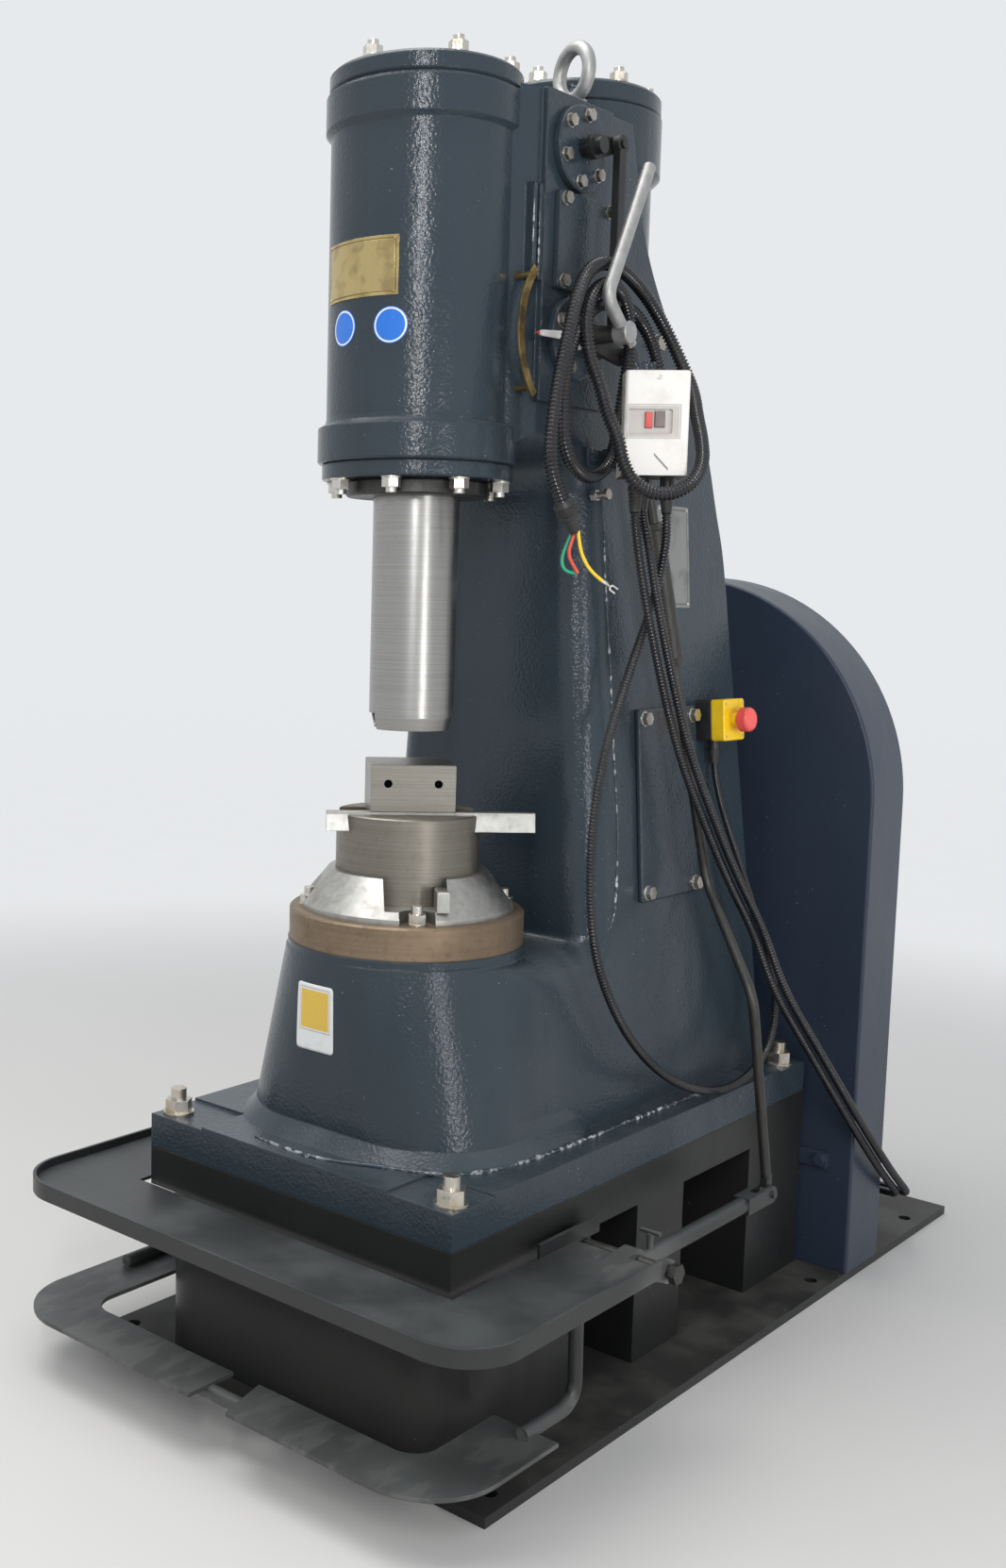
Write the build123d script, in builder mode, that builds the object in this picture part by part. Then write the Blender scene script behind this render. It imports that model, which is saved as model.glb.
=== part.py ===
"""Self-contained pneumatic forging hammer: casting, anvil, air works, controls and drive.

Origin: the floor point under the ram axis. +Z is up and the machine faces -Y.
The operator's levers and buttons are on the +X flank, the belt drive is at the rear (+Y).
"""

from build123d import *
from math import atan2, cos, degrees, pi, radians, sin, sqrt, tan
import os

os.makedirs("parts", exist_ok=True)

# Driving dimensions, all in millimetres
# Ground plate and welded base
plate_half_x = 384.0
plate_front_y = -284.0
plate_rear_y = 1214.0
plate_t = 15.0
anchor_x = 352.0
anchor_y = (-232.0, 700.0, 1098.0)
anchor_r = 11.0
base_half_x = 293.0
base_front_y = -250.0
base_rear_y = 757.0
base_top_z = 328.0
band_h = 60.0
pocket_corner_r = 95.0
pier_gaps_y = ((60.0, 213.0), (350.0, 568.0))

# Casting
flange_t = 56.0
flange_pad = (112.0, 92.0)
pad_drop = 4.0
pedestal_half_x = 229.0
pedestal_front_y = -173.0
pedestal_rear_y = 260.0
pedestal_corner_r = 150.0
pedestal_flare = 23.0
seat_z = 668.0
seat_r = 178.5
column_front_y = 191.0
column_corner_r = 52.0
shelf_r = 12.0
head_corner_r = 90.0
rear_corner_l = 16.0
column_foot_half_x = 228.0
column_head_half_x = 152.0
shoulder_z = 1500.0
column_foot_rear_y = 735.0
column_neck_rear_y = 634.0
neck_z = 1208.0
throat_top_z = 1385.0
head_top_z = 1890.0

# Ram cylinder at the front
ram_r = 63.0
running_gap = 0.05
ram_bore_r = 100.0
barrel_r = 134.5
lower_flange_r = 146.5
lower_flange_h = 56.0
upper_flange_r = 142.0
upper_flange_h = 55.0
head_face_z = 1369.0
guide_h = 84.0
front_flange_z = 1884.0
front_cover_r = 138.0
front_cover_t = 28.0
gland_plate_r = 139.5
gland_plate_t = 23.0
gland_nut_pcd_r = 124.0
gland_ring_r = 104.0
gland_ring_t = 23.0
ram_bottom_z = 984.0
ram_chamfer = (5.0, 19.0)
ram_head_h = 120.0

# Compressor cylinder at the rear
rear_axis_y = 362.0
rear_barrel_r = 131.0
rear_flange_r = 144.0
rear_flange_h = 86.0
rear_flange_z = 1926.0
rear_cover_t = 33.0
comp_bore_r = 95.0
crank_z = 840.0
crank_throw = 80.0
crank_disc_r = 118.0
crank_disc_t = 46.0
crank_pin_r = 26.0
crank_pin_l = 26.0
case_half_x = 140.0
case_front_y = 245.0
case_rear_y = 575.0
case_floor_z = 640.0
case_top_z = 1075.0
piston_h = 150.0
rod_length = 520.0
wrist_pin_r = 17.0
main_shaft_r = 40.0

# Anvil stack
ring_r = 176.5
ring_t = 48.0
stud_pcd_r = 147.0
sow_r = 108.3
sow_top_z = 860.5
collar_r = 160.0
collar_top_r = 119.0
collar_h = 59.0
collar_slot_w = 92.0
collar_slot_floor = 18.0
die_turn = 45.0
die_l = 125.0
die_w = 117.0
die_top_z = 935.0
die_body_h = 69.0
dovetail_depth = 24.0
dovetail_top_w = 70.0
dovetail_flare = 5.0
key_w = 16.0
key_l = (-126.0, 182.0)
fit_gap = 0.3

# Valve gear on the +X flank
valve_y = 148.0
upper_valve_z = 1819.0
lower_valve_z = 1555.0
valve_face_x = 160.0
valve_cap_r = 60.0
valve_cap_t = 12.0
valve_bore_r = 30.0
spindle_r = 12.0
crank_arm = 48.0
rod_arm = 95.0
lever_x = 250.0
lever_r = 9.5
hub_r = 16.0
quadrant_r = 137.0
quadrant_w = 13.0

# Belt drive
guard_r = 385.0
guard_front_y = 768.0
guard_rear_y = 896.0
guard_t = 4.0
flywheel_r = 330.0
flywheel_w = 84.0
motor_axis_z = 232.0
motor_pulley_r = 72.0
motor_body_r = 118.0
motor_body_l = 270.0
motor_shaft_r = 19.0

# Treadle
treadle_pivot_y = 44.0
treadle_pivot_z = 261.0
tray_half_x = 450.0
tray_front_y = -402.0
tray_rear_y = 18.0
tray_corner_r = 88.0
rim_top_z = 287.0
rim_h = 26.0
rim_t = 5.0
tray_sink = 13.0
foot_half_x = 426.0
foot_front_y = -432.0
foot_inner_x = 322.0
foot_inner_front_y = -346.0
foot_corner_r = 112.0
foot_z = 88.0
foot_t = 6.0
arm_x = 385.0
arm_z = 250.0
arm_end_y = 445.0
bar_r = 8.0


def flank_half_x(z):
    """Half width of the casting at height z: the flanks lean in up to the shoulder."""
    foot_z = base_top_z + flange_t
    share = min(1.0, max(0.0, (z - foot_z) / (shoulder_z - foot_z)))
    return column_foot_half_x + share * (column_head_half_x - column_foot_half_x)


flank_lean = atan2(
    column_foot_half_x - column_head_half_x, shoulder_z - base_top_z - flange_t
)


def flank(y, z, out=0.0):
    """Plane on the leaning +X flank, its x along +Y and its y up the flank."""
    normal = Vector(cos(flank_lean), 0, sin(flank_lean))
    return Plane(
        origin=Vector(flank_half_x(z), y, z) + normal * out,
        x_dir=(0, 1, 0),
        z_dir=normal,
    )


def rounded_box(half_x, front_y, rear_y, radius, z):
    """Sketch of a rounded rectangle that is centred on X = 0."""
    with BuildSketch(Plane.XY.offset(z)) as outline:
        with Locations((0, (front_y + rear_y) / 2)):
            RectangleRounded(2 * half_x, rear_y - front_y, radius)
    return outline.sketch


def hex_bolt(across_flats, head_h, washer_r=0.0, washer_t=0.0, stud_r=0.0, stud_h=0.0):
    """Washer, hexagon and projecting stud, standing on Z = 0."""
    with BuildPart() as bolt:
        with BuildSketch():
            RegularPolygon(across_flats / 2, 6, major_radius=False)
        extrude(amount=washer_t + head_h)
        if washer_r:
            Cylinder(washer_r, washer_t, align=(Align.CENTER, Align.CENTER, Align.MIN))
        if stud_r:
            with Locations((0, 0, washer_t + head_h)):
                Cylinder(stud_r, stud_h, align=(Align.CENTER, Align.CENTER, Align.MIN))
    return bolt.part


def save(builder, name):
    """Label a finished piece and write its STEP file."""
    builder.part.label = name
    export_step(builder.part, f"parts/{name}.step")


# Ground plate
with BuildPart() as base_plate:
    with BuildSketch():
        with Locations((0, (plate_front_y + plate_rear_y) / 2)):
            Rectangle(2 * plate_half_x, plate_rear_y - plate_front_y)
        with Locations([(s * anchor_x, y) for s in (-1, 1) for y in anchor_y]):
            Circle(anchor_r, mode=Mode.SUBTRACT)
    extrude(amount=plate_t)
save(base_plate, "base_plate")

# Welded base: front pocket box with bent corners, two piers and the top band
band_z = base_top_z - band_h
boss_l = 14.0
boss_r = 20.0
with BuildPart() as base_box:
    with BuildSketch(Plane.XY.offset(band_z)):
        with Locations((0, (base_front_y + base_rear_y) / 2)):
            Rectangle(2 * base_half_x, base_rear_y - base_front_y)
    extrude(amount=band_h)
    with BuildSketch(Plane.XY.offset(plate_t)) as pocket:
        with Locations((0, (base_front_y + pier_gaps_y[0][0]) / 2)):
            Rectangle(2 * base_half_x, pier_gaps_y[0][0] - base_front_y)
        fillet(pocket.vertices().group_by(Axis.Y)[0], pocket_corner_r)
        for pier_front, pier_rear in (
            (pier_gaps_y[0][1], pier_gaps_y[1][0]),
            (pier_gaps_y[1][1], base_rear_y),
        ):
            with Locations((0, (pier_front + pier_rear) / 2)):
                Rectangle(2 * base_half_x, pier_rear - pier_front)
    extrude(amount=band_z - plate_t)
    for side in (-1, 1):
        with BuildSketch(
            Plane(
                origin=(side * base_half_x, treadle_pivot_y - 2, treadle_pivot_z),
                x_dir=(0, side, 0),
                z_dir=(side, 0, 0),
            )
        ):
            Circle(boss_r)
        extrude(amount=boss_l)
save(base_box, "base_box")

# Main casting: foot flange, pedestal, column and the two cylinders in one piece
flange_top_z = base_top_z + flange_t
with BuildPart() as column:
    with BuildSketch(Plane.YZ):
        with BuildLine():
            front = Polyline(
                (60, flange_top_z - 5),
                (60, seat_z - 12),
                (column_front_y - shelf_r, seat_z - 12),
            )
            TangentArc(
                front @ 1, (column_front_y, seat_z - 12 + shelf_r), tangent=(1, 0)
            )
            rise = Line(
                (column_front_y, seat_z - 12 + shelf_r),
                (column_front_y, throat_top_z - 50),
            )
            TangentArc(rise @ 1, (column_front_y - 50, throat_top_z), tangent=rise % 1)
            over = Polyline(
                (column_front_y - 50, throat_top_z),
                (0, throat_top_z),
                (0, head_top_z),
                (rear_axis_y - 40, head_top_z),
                (rear_axis_y - 12, head_top_z - 101),
            )
            back = Spline(
                over @ 1,
                (rear_axis_y + 20, head_top_z - 179),
                (426, 1647),
                (484, 1577),
                (540, 1502),
                (580, 1425),
                (606, 1330),
                (column_neck_rear_y, neck_z),
                tangents=[(0.28, -1), (0.1226, -1)],
            )
            Polyline(
                back @ 1,
                (column_foot_rear_y, flange_top_z - 5),
                (60, flange_top_z - 5),
            )
        make_face()
    extrude(amount=pedestal_half_x + pedestal_flare, both=True)
    with BuildSketch(Plane.XZ.offset(20)):
        with BuildLine():
            Polyline(
                (-column_foot_half_x, flange_top_z - 5),
                (column_foot_half_x, flange_top_z - 5),
                (column_foot_half_x, flange_top_z),
                (column_head_half_x, shoulder_z),
                (column_head_half_x, head_top_z),
                (-column_head_half_x, head_top_z),
                (-column_head_half_x, shoulder_z),
                (-column_foot_half_x, flange_top_z),
                (-column_foot_half_x, flange_top_z - 5),
            )
        make_face()
    extrude(amount=-(column_foot_rear_y + 40), mode=Mode.INTERSECT)
    front_corners = [
        edge
        for edge in column.edges()
        if abs(edge.center().Y - column_front_y) < 1
        and abs(edge.center().X) > column_head_half_x - 2
        and edge.length > 200
    ]
    fillet(front_corners, column_corner_r)
    # The head's own flanks stand upright as far back as its round corners reach
    upright_w, upright_l = 60.0, 120.0
    with Locations(
        [
            (s * (column_head_half_x + upright_w / 2), upright_l / 2 - 5, shoulder_z)
            for s in (-1, 1)
        ]
    ):
        Box(
            upright_w, upright_l + 10, shoulder_z - throat_top_z + 5,
            align=(Align.CENTER, Align.CENTER, Align.MAX), mode=Mode.SUBTRACT,
        )
    head_corners = [
        edge
        for edge in column.edges()
        if abs(edge.center().Y) < 1
        and abs(edge.center().X) > column_head_half_x - 2
        and edge.length > 90
    ]
    fillet(head_corners, head_corner_r)
    rear_corners = [
        edge
        for edge in column.edges()
        if edge.center().Y > column_neck_rear_y - 60
        and abs(edge.center().X) > column_head_half_x - 2
        and edge.length > 200
    ]
    chamfer(rear_corners, rear_corner_l)

with BuildPart() as pedestal:
    rounded_foot = rounded_box(
        pedestal_half_x + pedestal_flare,
        pedestal_front_y - pedestal_flare,
        pedestal_rear_y,
        pedestal_corner_r + pedestal_flare,
        flange_top_z,
    )
    rounded_wall = rounded_box(
        pedestal_half_x,
        pedestal_front_y,
        pedestal_rear_y,
        pedestal_corner_r,
        flange_top_z + pedestal_flare,
    )
    rounded_seat = rounded_box(seat_r, -seat_r, seat_r, seat_r - 6, seat_z - 12)
    add(rounded_foot)
    add(rounded_wall)
    loft(ruled=True)
    add(rounded_wall)
    add(rounded_seat)
    loft(ruled=True)
    with Locations((0, 0, seat_z - 12)):
        Cylinder(seat_r, 12, align=(Align.CENTER, Align.CENTER, Align.MIN))

guide_top_z = head_face_z + guide_h
cover_room_h = 260.0
spanner_room_r = 30.0
spanner_room_h = 60.0
foundation_inset = (27.0, 32.0, 46.0)
foundation_spots = [
    (sx * (base_half_x - foundation_inset[0]), y)
    for sx in (-1, 1)
    for y in (base_front_y + foundation_inset[1], base_rear_y - foundation_inset[2])
]
window_y = (350.0, 470.0)
window_z = (752.0, 965.0)
with BuildPart() as hammer_frame:
    with BuildSketch(Plane.XY.offset(base_top_z)):
        with Locations((0, (base_front_y + base_rear_y) / 2)):
            Rectangle(2 * base_half_x, base_rear_y - base_front_y)
    extrude(amount=flange_t)
    pad_x, pad_y = flange_pad
    with BuildSketch(Plane.XY.offset(flange_top_z - pad_drop)):
        with Locations(
            [
                (sx * (base_half_x - pad_x / 2 + 4), y)
                for sx in (-1, 1)
                for y in (base_front_y + pad_y / 2 - 4, base_rear_y - pad_y / 2 + 4)
            ]
        ):
            Rectangle(pad_x + 8, pad_y + 8)
    extrude(amount=pad_drop + 1, mode=Mode.SUBTRACT)
    add(pedestal.part)
    add(column.part)
    # Ram barrel with its flanges
    with BuildSketch(Plane.XZ):
        with BuildLine():
            Polyline(
                (0, head_face_z),
                (lower_flange_r - 3, head_face_z),
                (lower_flange_r, head_face_z + 3),
                (lower_flange_r, head_face_z + lower_flange_h - 6),
                (barrel_r + 2, head_face_z + lower_flange_h),
                (barrel_r, head_face_z + lower_flange_h + 8),
                (barrel_r, front_flange_z - upper_flange_h - 4),
                (upper_flange_r, front_flange_z - upper_flange_h + 3),
                (upper_flange_r, front_flange_z - 5),
                (upper_flange_r - 5, front_flange_z),
                (0, front_flange_z),
                (0, head_face_z),
            )
        make_face()
    revolve(axis=Axis.Z)
    # Compressor barrel with its flange
    with BuildSketch(Plane.XZ.offset(-rear_axis_y)):
        with BuildLine():
            Polyline(
                (0, shoulder_z),
                (rear_barrel_r, shoulder_z),
                (rear_barrel_r, rear_flange_z - rear_flange_h - 12),
                (rear_flange_r, rear_flange_z - rear_flange_h),
                (rear_flange_r, rear_flange_z),
                (0, rear_flange_z),
                (0, shoulder_z),
            )
        make_face()
    revolve(axis=Axis(origin=(0, rear_axis_y, 0), direction=(0, 0, 1)))
    # Valve chest on the +X flank, with its two stepped ribs
    with BuildSketch(Plane.YZ.offset(column_head_half_x - 30)):
        with Locations((valve_y + 8, (lower_valve_z + head_top_z - 95) / 2)):
            Rectangle(166, head_top_z - lower_valve_z + 95)
    extrude(amount=valve_face_x - column_head_half_x + 30)
    with BuildSketch(Plane.YZ.offset(column_head_half_x - 30)):
        with Locations((valve_y - 94, 1692), (valve_y - 80, 1692)):
            Rectangle(8, 132)
    extrude(amount=valve_face_x - column_head_half_x + 28)
    # Bearing housing behind the column
    with BuildSketch(Plane.XZ.offset(-case_rear_y - 20)):
        with Locations((0, crank_z)):
            Circle(112)
    extrude(amount=-(guard_front_y - 22 - case_rear_y - 20))
    # Seats of the two covers, cut clear through the web between the cylinders
    for seat_y, seat_edge_r, seat_face_z in (
        (0, upper_flange_r, front_flange_z), (rear_axis_y, rear_flange_r, rear_flange_z)
    ):
        with Locations((0, seat_y, seat_face_z)):
            Cylinder(
                seat_edge_r, cover_room_h,
                align=(Align.CENTER, Align.CENTER, Align.MIN), mode=Mode.SUBTRACT,
            )
    # Spanner room round the foundation nuts
    with Locations([(x, y, flange_top_z - pad_drop) for x, y in foundation_spots]):
        Cylinder(
            spanner_room_r, spanner_room_h,
            align=(Align.CENTER, Align.CENTER, Align.MIN), mode=Mode.SUBTRACT,
        )
    # Bores
    with Locations((0, 0, head_face_z)):
        Cylinder(
            ram_r + running_gap, guide_h,
            align=(Align.CENTER, Align.CENTER, Align.MIN), mode=Mode.SUBTRACT,
        )
    with Locations((0, 0, guide_top_z)):
        Cylinder(
            ram_bore_r, front_flange_z - guide_top_z,
            align=(Align.CENTER, Align.CENTER, Align.MIN), mode=Mode.SUBTRACT,
        )
    with Locations((0, rear_axis_y, case_top_z - 20)):
        Cylinder(
            comp_bore_r, rear_flange_z - case_top_z + 20,
            align=(Align.CENTER, Align.CENTER, Align.MIN), mode=Mode.SUBTRACT,
        )
    with BuildSketch(Plane.XY.offset(case_floor_z)):
        with Locations((0, (case_front_y + case_rear_y) / 2)):
            RectangleRounded(2 * case_half_x, case_rear_y - case_front_y, 40)
    extrude(amount=case_top_z - case_floor_z, mode=Mode.SUBTRACT)
    with BuildSketch(Plane.YZ.offset(case_half_x - 1)):
        with Locations(((window_y[0] + window_y[1]) / 2, (window_z[0] + window_z[1]) / 2)):
            RectangleRounded(window_y[1] - window_y[0], window_z[1] - window_z[0], 12)
    extrude(amount=90, mode=Mode.SUBTRACT)
    with BuildSketch(Plane.XZ.offset(-case_rear_y + 1)):
        with Locations((0, crank_z)):
            Circle(main_shaft_r + running_gap)
    extrude(amount=-220, mode=Mode.SUBTRACT)
    with BuildSketch(Plane.YZ.offset(valve_face_x + 1)):
        with Locations((valve_y, upper_valve_z), (valve_y, lower_valve_z)):
            Circle(valve_bore_r + running_gap)
    extrude(amount=-60, mode=Mode.SUBTRACT)
save(hammer_frame, "hammer_frame")
print("casting valid", hammer_frame.part.is_valid, "solids", len(hammer_frame.solids()))

# Cylinder covers, gland and their fasteners
def turned_disc(radius, inner_r, bottom_z, height, chamfer_l, centre_y=0.0):
    """Flat turned disc with a chamfered outer edge and, if asked for, a bore."""
    with BuildPart(Plane.XY.offset(bottom_z)) as disc:
        with Locations((0, centre_y, 0)):
            Cylinder(radius, height, align=(Align.CENTER, Align.CENTER, Align.MIN))
        chamfer(disc.edges().filter_by(GeomType.CIRCLE), chamfer_l)
        if inner_r:
            with Locations((0, centre_y, 0)):
                Cylinder(
                    inner_r, height,
                    align=(Align.CENTER, Align.CENTER, Align.MIN), mode=Mode.SUBTRACT,
                )
    return disc


front_cover = turned_disc(front_cover_r, 0, front_flange_z, front_cover_t, 4)
save(front_cover, "front_cover")
rear_cover = turned_disc(
    rear_flange_r - 2, 0, rear_flange_z, rear_cover_t, 5, rear_axis_y
)
save(rear_cover, "rear_cover")
gland_plate = turned_disc(
    gland_plate_r, ram_r + running_gap, head_face_z - gland_plate_t, gland_plate_t, 2
)
save(gland_plate, "gland_plate")
gland_z = head_face_z - gland_plate_t
gland_ring = turned_disc(
    gland_ring_r, ram_r + running_gap, gland_z - gland_ring_t, gland_ring_t, 3
)
save(gland_ring, "gland_ring")

m16_af = 24.0
m16_nut_h = 13.0
with BuildPart() as gland_nuts:
    nut = hex_bolt(m16_af, m16_nut_h, 15, 2.5, 8, 7)
    with Locations(Plane(origin=(0, 0, gland_z), z_dir=(0, 0, -1))):
        with PolarLocations(gland_nut_pcd_r, 8, start_angle=22.5):
            add(nut)
save(gland_nuts, "gland_nuts")

with BuildPart() as cover_nuts:
    nut = hex_bolt(m16_af, m16_nut_h, 15, 2.5, 8, 8)
    with Locations((0, 0, front_flange_z + front_cover_t)):
        with PolarLocations(front_cover_r - 20, 6, start_angle=30):
            add(nut)
    with Locations((0, rear_axis_y, rear_flange_z + rear_cover_t)):
        with PolarLocations(rear_flange_r - 22, 6, start_angle=-20):
            add(nut)
save(cover_nuts, "cover_nuts")

# Ram: rod, piston head and dovetail slot for the top die, which isn't fitted
die_plane = Plane.XY.rotated((0, 0, die_turn))


def dovetail(plane, width, depth, flare, length):
    """Prism with a dovetail section that opens upwards along the plane's x axis."""
    section = Plane(origin=plane.origin, x_dir=plane.y_dir, z_dir=plane.x_dir)
    with BuildPart() as prism:
        with BuildSketch(section):
            with BuildLine():
                Polyline(
                    (-width / 2 - flare, -depth), (width / 2 + flare, -depth),
                    (width / 2, 0), (-width / 2, 0), (-width / 2 - flare, -depth),
                )
            make_face()
        extrude(amount=length / 2, both=True)
    return prism.part


ram_rod_top_z = guide_top_z + 6
ram_top_z = ram_rod_top_z + ram_head_h
with BuildPart() as ram:
    with BuildSketch(Plane.XZ):
        with BuildLine():
            Polyline(
                (0, ram_bottom_z),
                (ram_r - ram_chamfer[0], ram_bottom_z),
                (ram_r, ram_bottom_z + ram_chamfer[1]),
                (ram_r, ram_rod_top_z),
                (ram_bore_r - running_gap - 3, ram_rod_top_z),
                (ram_bore_r - running_gap, ram_rod_top_z + 3),
                (ram_bore_r - running_gap, ram_top_z - 3),
                (ram_bore_r - running_gap - 3, ram_top_z),
                (0, ram_top_z),
                (0, ram_bottom_z),
            )
        make_face()
    revolve(axis=Axis.Z)
    slot_w = 46.0
    slot = dovetail(
        Plane(origin=(0, 0, ram_bottom_z), x_dir=die_plane.x_dir, z_dir=(0, 0, -1)),
        slot_w, dovetail_depth, dovetail_flare, 3 * ram_r,
    )
    add(slot, mode=Mode.SUBTRACT)
save(ram, "ram")

# Anvil stack: bolted ring, conical collar with its wedge, sow block, die and die key
with BuildPart() as anvil_ring:
    with BuildSketch(Plane.XY.offset(seat_z)):
        Circle(ring_r)
        Circle(sow_r + fit_gap, mode=Mode.SUBTRACT)
    extrude(amount=ring_t)
    chamfer(anvil_ring.edges().group_by(Axis.Z)[-1].sort_by(SortBy.RADIUS)[-1], 3)
save(anvil_ring, "anvil_ring")

ring_top_z = seat_z + ring_t
with BuildPart() as ring_nuts:
    nut = hex_bolt(m16_af, m16_nut_h, 15, 2.5, 8, 12)
    with Locations((0, 0, ring_top_z)):
        with PolarLocations(stud_pcd_r, 4, start_angle=45):
            add(nut)
save(ring_nuts, "ring_nuts")

slot_dir = Plane(
    origin=(0, 0, ring_top_z + collar_slot_floor), x_dir=(cos(radians(45)), sin(radians(45)), 0)
)
wedge_w = 18.0
with BuildPart() as collar:
    with BuildSketch(Plane.XZ):
        with BuildLine():
            Polyline(
                (sow_r + fit_gap, ring_top_z),
                (collar_r, ring_top_z),
                (collar_r, ring_top_z + 8),
                (collar_top_r, ring_top_z + collar_h),
                (sow_r + fit_gap, ring_top_z + collar_h),
                (sow_r + fit_gap, ring_top_z),
            )
        make_face()
    revolve(axis=Axis.Z)
    with Locations((0, 0, ring_top_z)):
        with PolarLocations(stud_pcd_r + 7, 4, start_angle=45):
            Cylinder(
                26, collar_h, align=(Align.CENTER, Align.CENTER, Align.MIN),
                mode=Mode.SUBTRACT,
            )
    with BuildSketch(slot_dir):
        with Locations((0, -(sow_r + 40))):
            Rectangle(collar_slot_w, 120)
    extrude(amount=collar_h, mode=Mode.SUBTRACT)
save(collar, "collar")

with BuildPart() as collar_wedge:
    with BuildSketch(slot_dir):
        with Locations((collar_slot_w / 2 - wedge_w / 2, -(sow_r + 22.5))):
            Rectangle(wedge_w, 44)
    extrude(amount=30)
    chamfer(collar_wedge.edges().group_by(Axis.Z)[-1], 2)
save(collar_wedge, "collar_wedge")

sow_floor_z = sow_top_z - dovetail_depth
with BuildPart() as sow_block:
    with BuildSketch(Plane.XY.offset(seat_z)):
        Circle(sow_r)
    extrude(amount=sow_top_z - seat_z)
    chamfer(sow_block.edges().group_by(Axis.Z)[-1], 2)
    with BuildSketch(Plane(origin=(0, 0, sow_floor_z), x_dir=die_plane.x_dir)):
        with Locations((0, -key_w / 2)):
            Rectangle(3 * sow_r, dovetail_top_w + key_w + 2 * dovetail_flare)
    extrude(
        amount=dovetail_depth, taper=degrees(atan2(dovetail_flare, dovetail_depth)),
        mode=Mode.SUBTRACT,
    )
save(sow_block, "sow_block")

die_foot_gap = 0.4
dovetail_lean = dovetail_flare / dovetail_depth
die_lift = die_top_z - die_body_h - sow_top_z
with BuildPart() as bottom_die:
    with BuildSketch(Plane(origin=(0, 0, die_top_z - die_body_h), x_dir=die_plane.x_dir)):
        Rectangle(die_l, die_w)
    extrude(amount=die_body_h)
    chamfer(bottom_die.edges().group_by(Axis.Z)[-1], 1.5)
    foot = dovetail(
        Plane(
            origin=(0, 0, die_top_z - die_body_h),
            x_dir=die_plane.x_dir, z_dir=(0, 0, 1),
        ),
        dovetail_top_w - 2 * die_foot_gap - 2 * dovetail_lean * die_lift,
        dovetail_depth + die_lift,
        dovetail_lean * (dovetail_depth + die_lift),
        die_l,
    )
    add(foot)
    with BuildSketch(
        Plane(
            origin=(
                die_w / 2 * sin(radians(die_turn)),
                -die_w / 2 * cos(radians(die_turn)),
                die_top_z - 28,
            ),
            x_dir=die_plane.x_dir,
            z_dir=(sin(radians(die_turn)), -cos(radians(die_turn)), 0),
        )
    ):
        with Locations((-37, 0), (37, 0)):
            Circle(6)
    extrude(amount=-26, mode=Mode.SUBTRACT)
save(bottom_die, "bottom_die")

key_section = Plane(
    origin=(0, 0, sow_floor_z), x_dir=-die_plane.y_dir, z_dir=-die_plane.x_dir
)
key_foot_x = dovetail_top_w / 2 + dovetail_flare + die_foot_gap
key_side_x = key_foot_x + key_w - 2 * die_foot_gap
key_top = dovetail_depth + 4
with BuildPart() as die_key:
    with BuildSketch(key_section.offset(-key_l[1])):
        with BuildLine():
            Polyline(
                (key_foot_x, 0),
                (key_side_x, 0),
                (key_side_x - dovetail_flare, dovetail_depth),
                (key_side_x - dovetail_flare, key_top),
                (key_foot_x - dovetail_lean * key_top + 0.3, key_top),
                (key_foot_x, 0),
            )
        make_face()
    extrude(amount=key_l[1] - key_l[0])
save(die_key, "die_key")

# Foundation studs and nuts on the corner pads
m24_af = 36.0
with BuildPart() as foundation_nuts:
    nut = hex_bolt(m24_af, 19, 24, 4, 12, 17)
    with Locations([(x, y, flange_top_z - pad_drop) for x, y in foundation_spots]):
        add(nut)
save(foundation_nuts, "foundation_nuts")

# Eye bolts on the shoulders of the head
with BuildPart() as eye_bolts:
    for side in (-1, 1):
        eye = Vector(side * 128, rear_axis_y / 2, head_top_z)
        with Locations(eye):
            Cylinder(20, 9, align=(Align.CENTER, Align.CENTER, Align.MIN))
            Cone(14, 10, 14, align=(Align.CENTER, Align.CENTER, Align.MIN))
        with Locations(
            Plane(origin=eye + Vector(0, 0, 48), z_dir=(0.35 * side, 1, 0))
        ):
            Torus(35, 10)
save(eye_bolts, "eye_bolts")

# Crankcase side cover, data plate and grease nipple on the leaning flank
cover_y = (sum(window_y)) / 2
cover_z = (sum(window_z)) / 2
cover_w, cover_h, cover_t = 176.0, 304.0, 9.0
with BuildPart() as side_cover:
    with BuildSketch(flank(cover_y, cover_z)):
        RectangleRounded(cover_w, cover_h, 6)
    extrude(amount=cover_t)
    chamfer(side_cover.faces().sort_by(Axis.X)[-1].edges(), 2)
save(side_cover, "side_cover")

with BuildPart() as side_cover_bolts:
    bolt = hex_bolt(19, 9, 12, 2)
    with Locations(flank(cover_y, cover_z, cover_t)):
        with GridLocations(cover_w - 28, cover_h - 30, 2, 2):
            add(bolt)
save(side_cover_bolts, "side_cover_bolts")

with BuildPart() as data_plate:
    with BuildSketch(flank(448, 1250)):
        RectangleRounded(96, 162, 4)
    extrude(amount=1.2)
save(data_plate, "data_plate")

with BuildPart() as grease_nipple:
    with BuildSketch(flank(216, 1334)):
        RegularPolygon(9, 6)
    extrude(amount=9)
    with BuildSketch(flank(216, 1334, 9)):
        Circle(5)
    extrude(amount=14)
    with BuildSketch(flank(216, 1334, 23)):
        Circle(8)
    extrude(amount=6)
save(grease_nipple, "grease_nipple")

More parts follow.
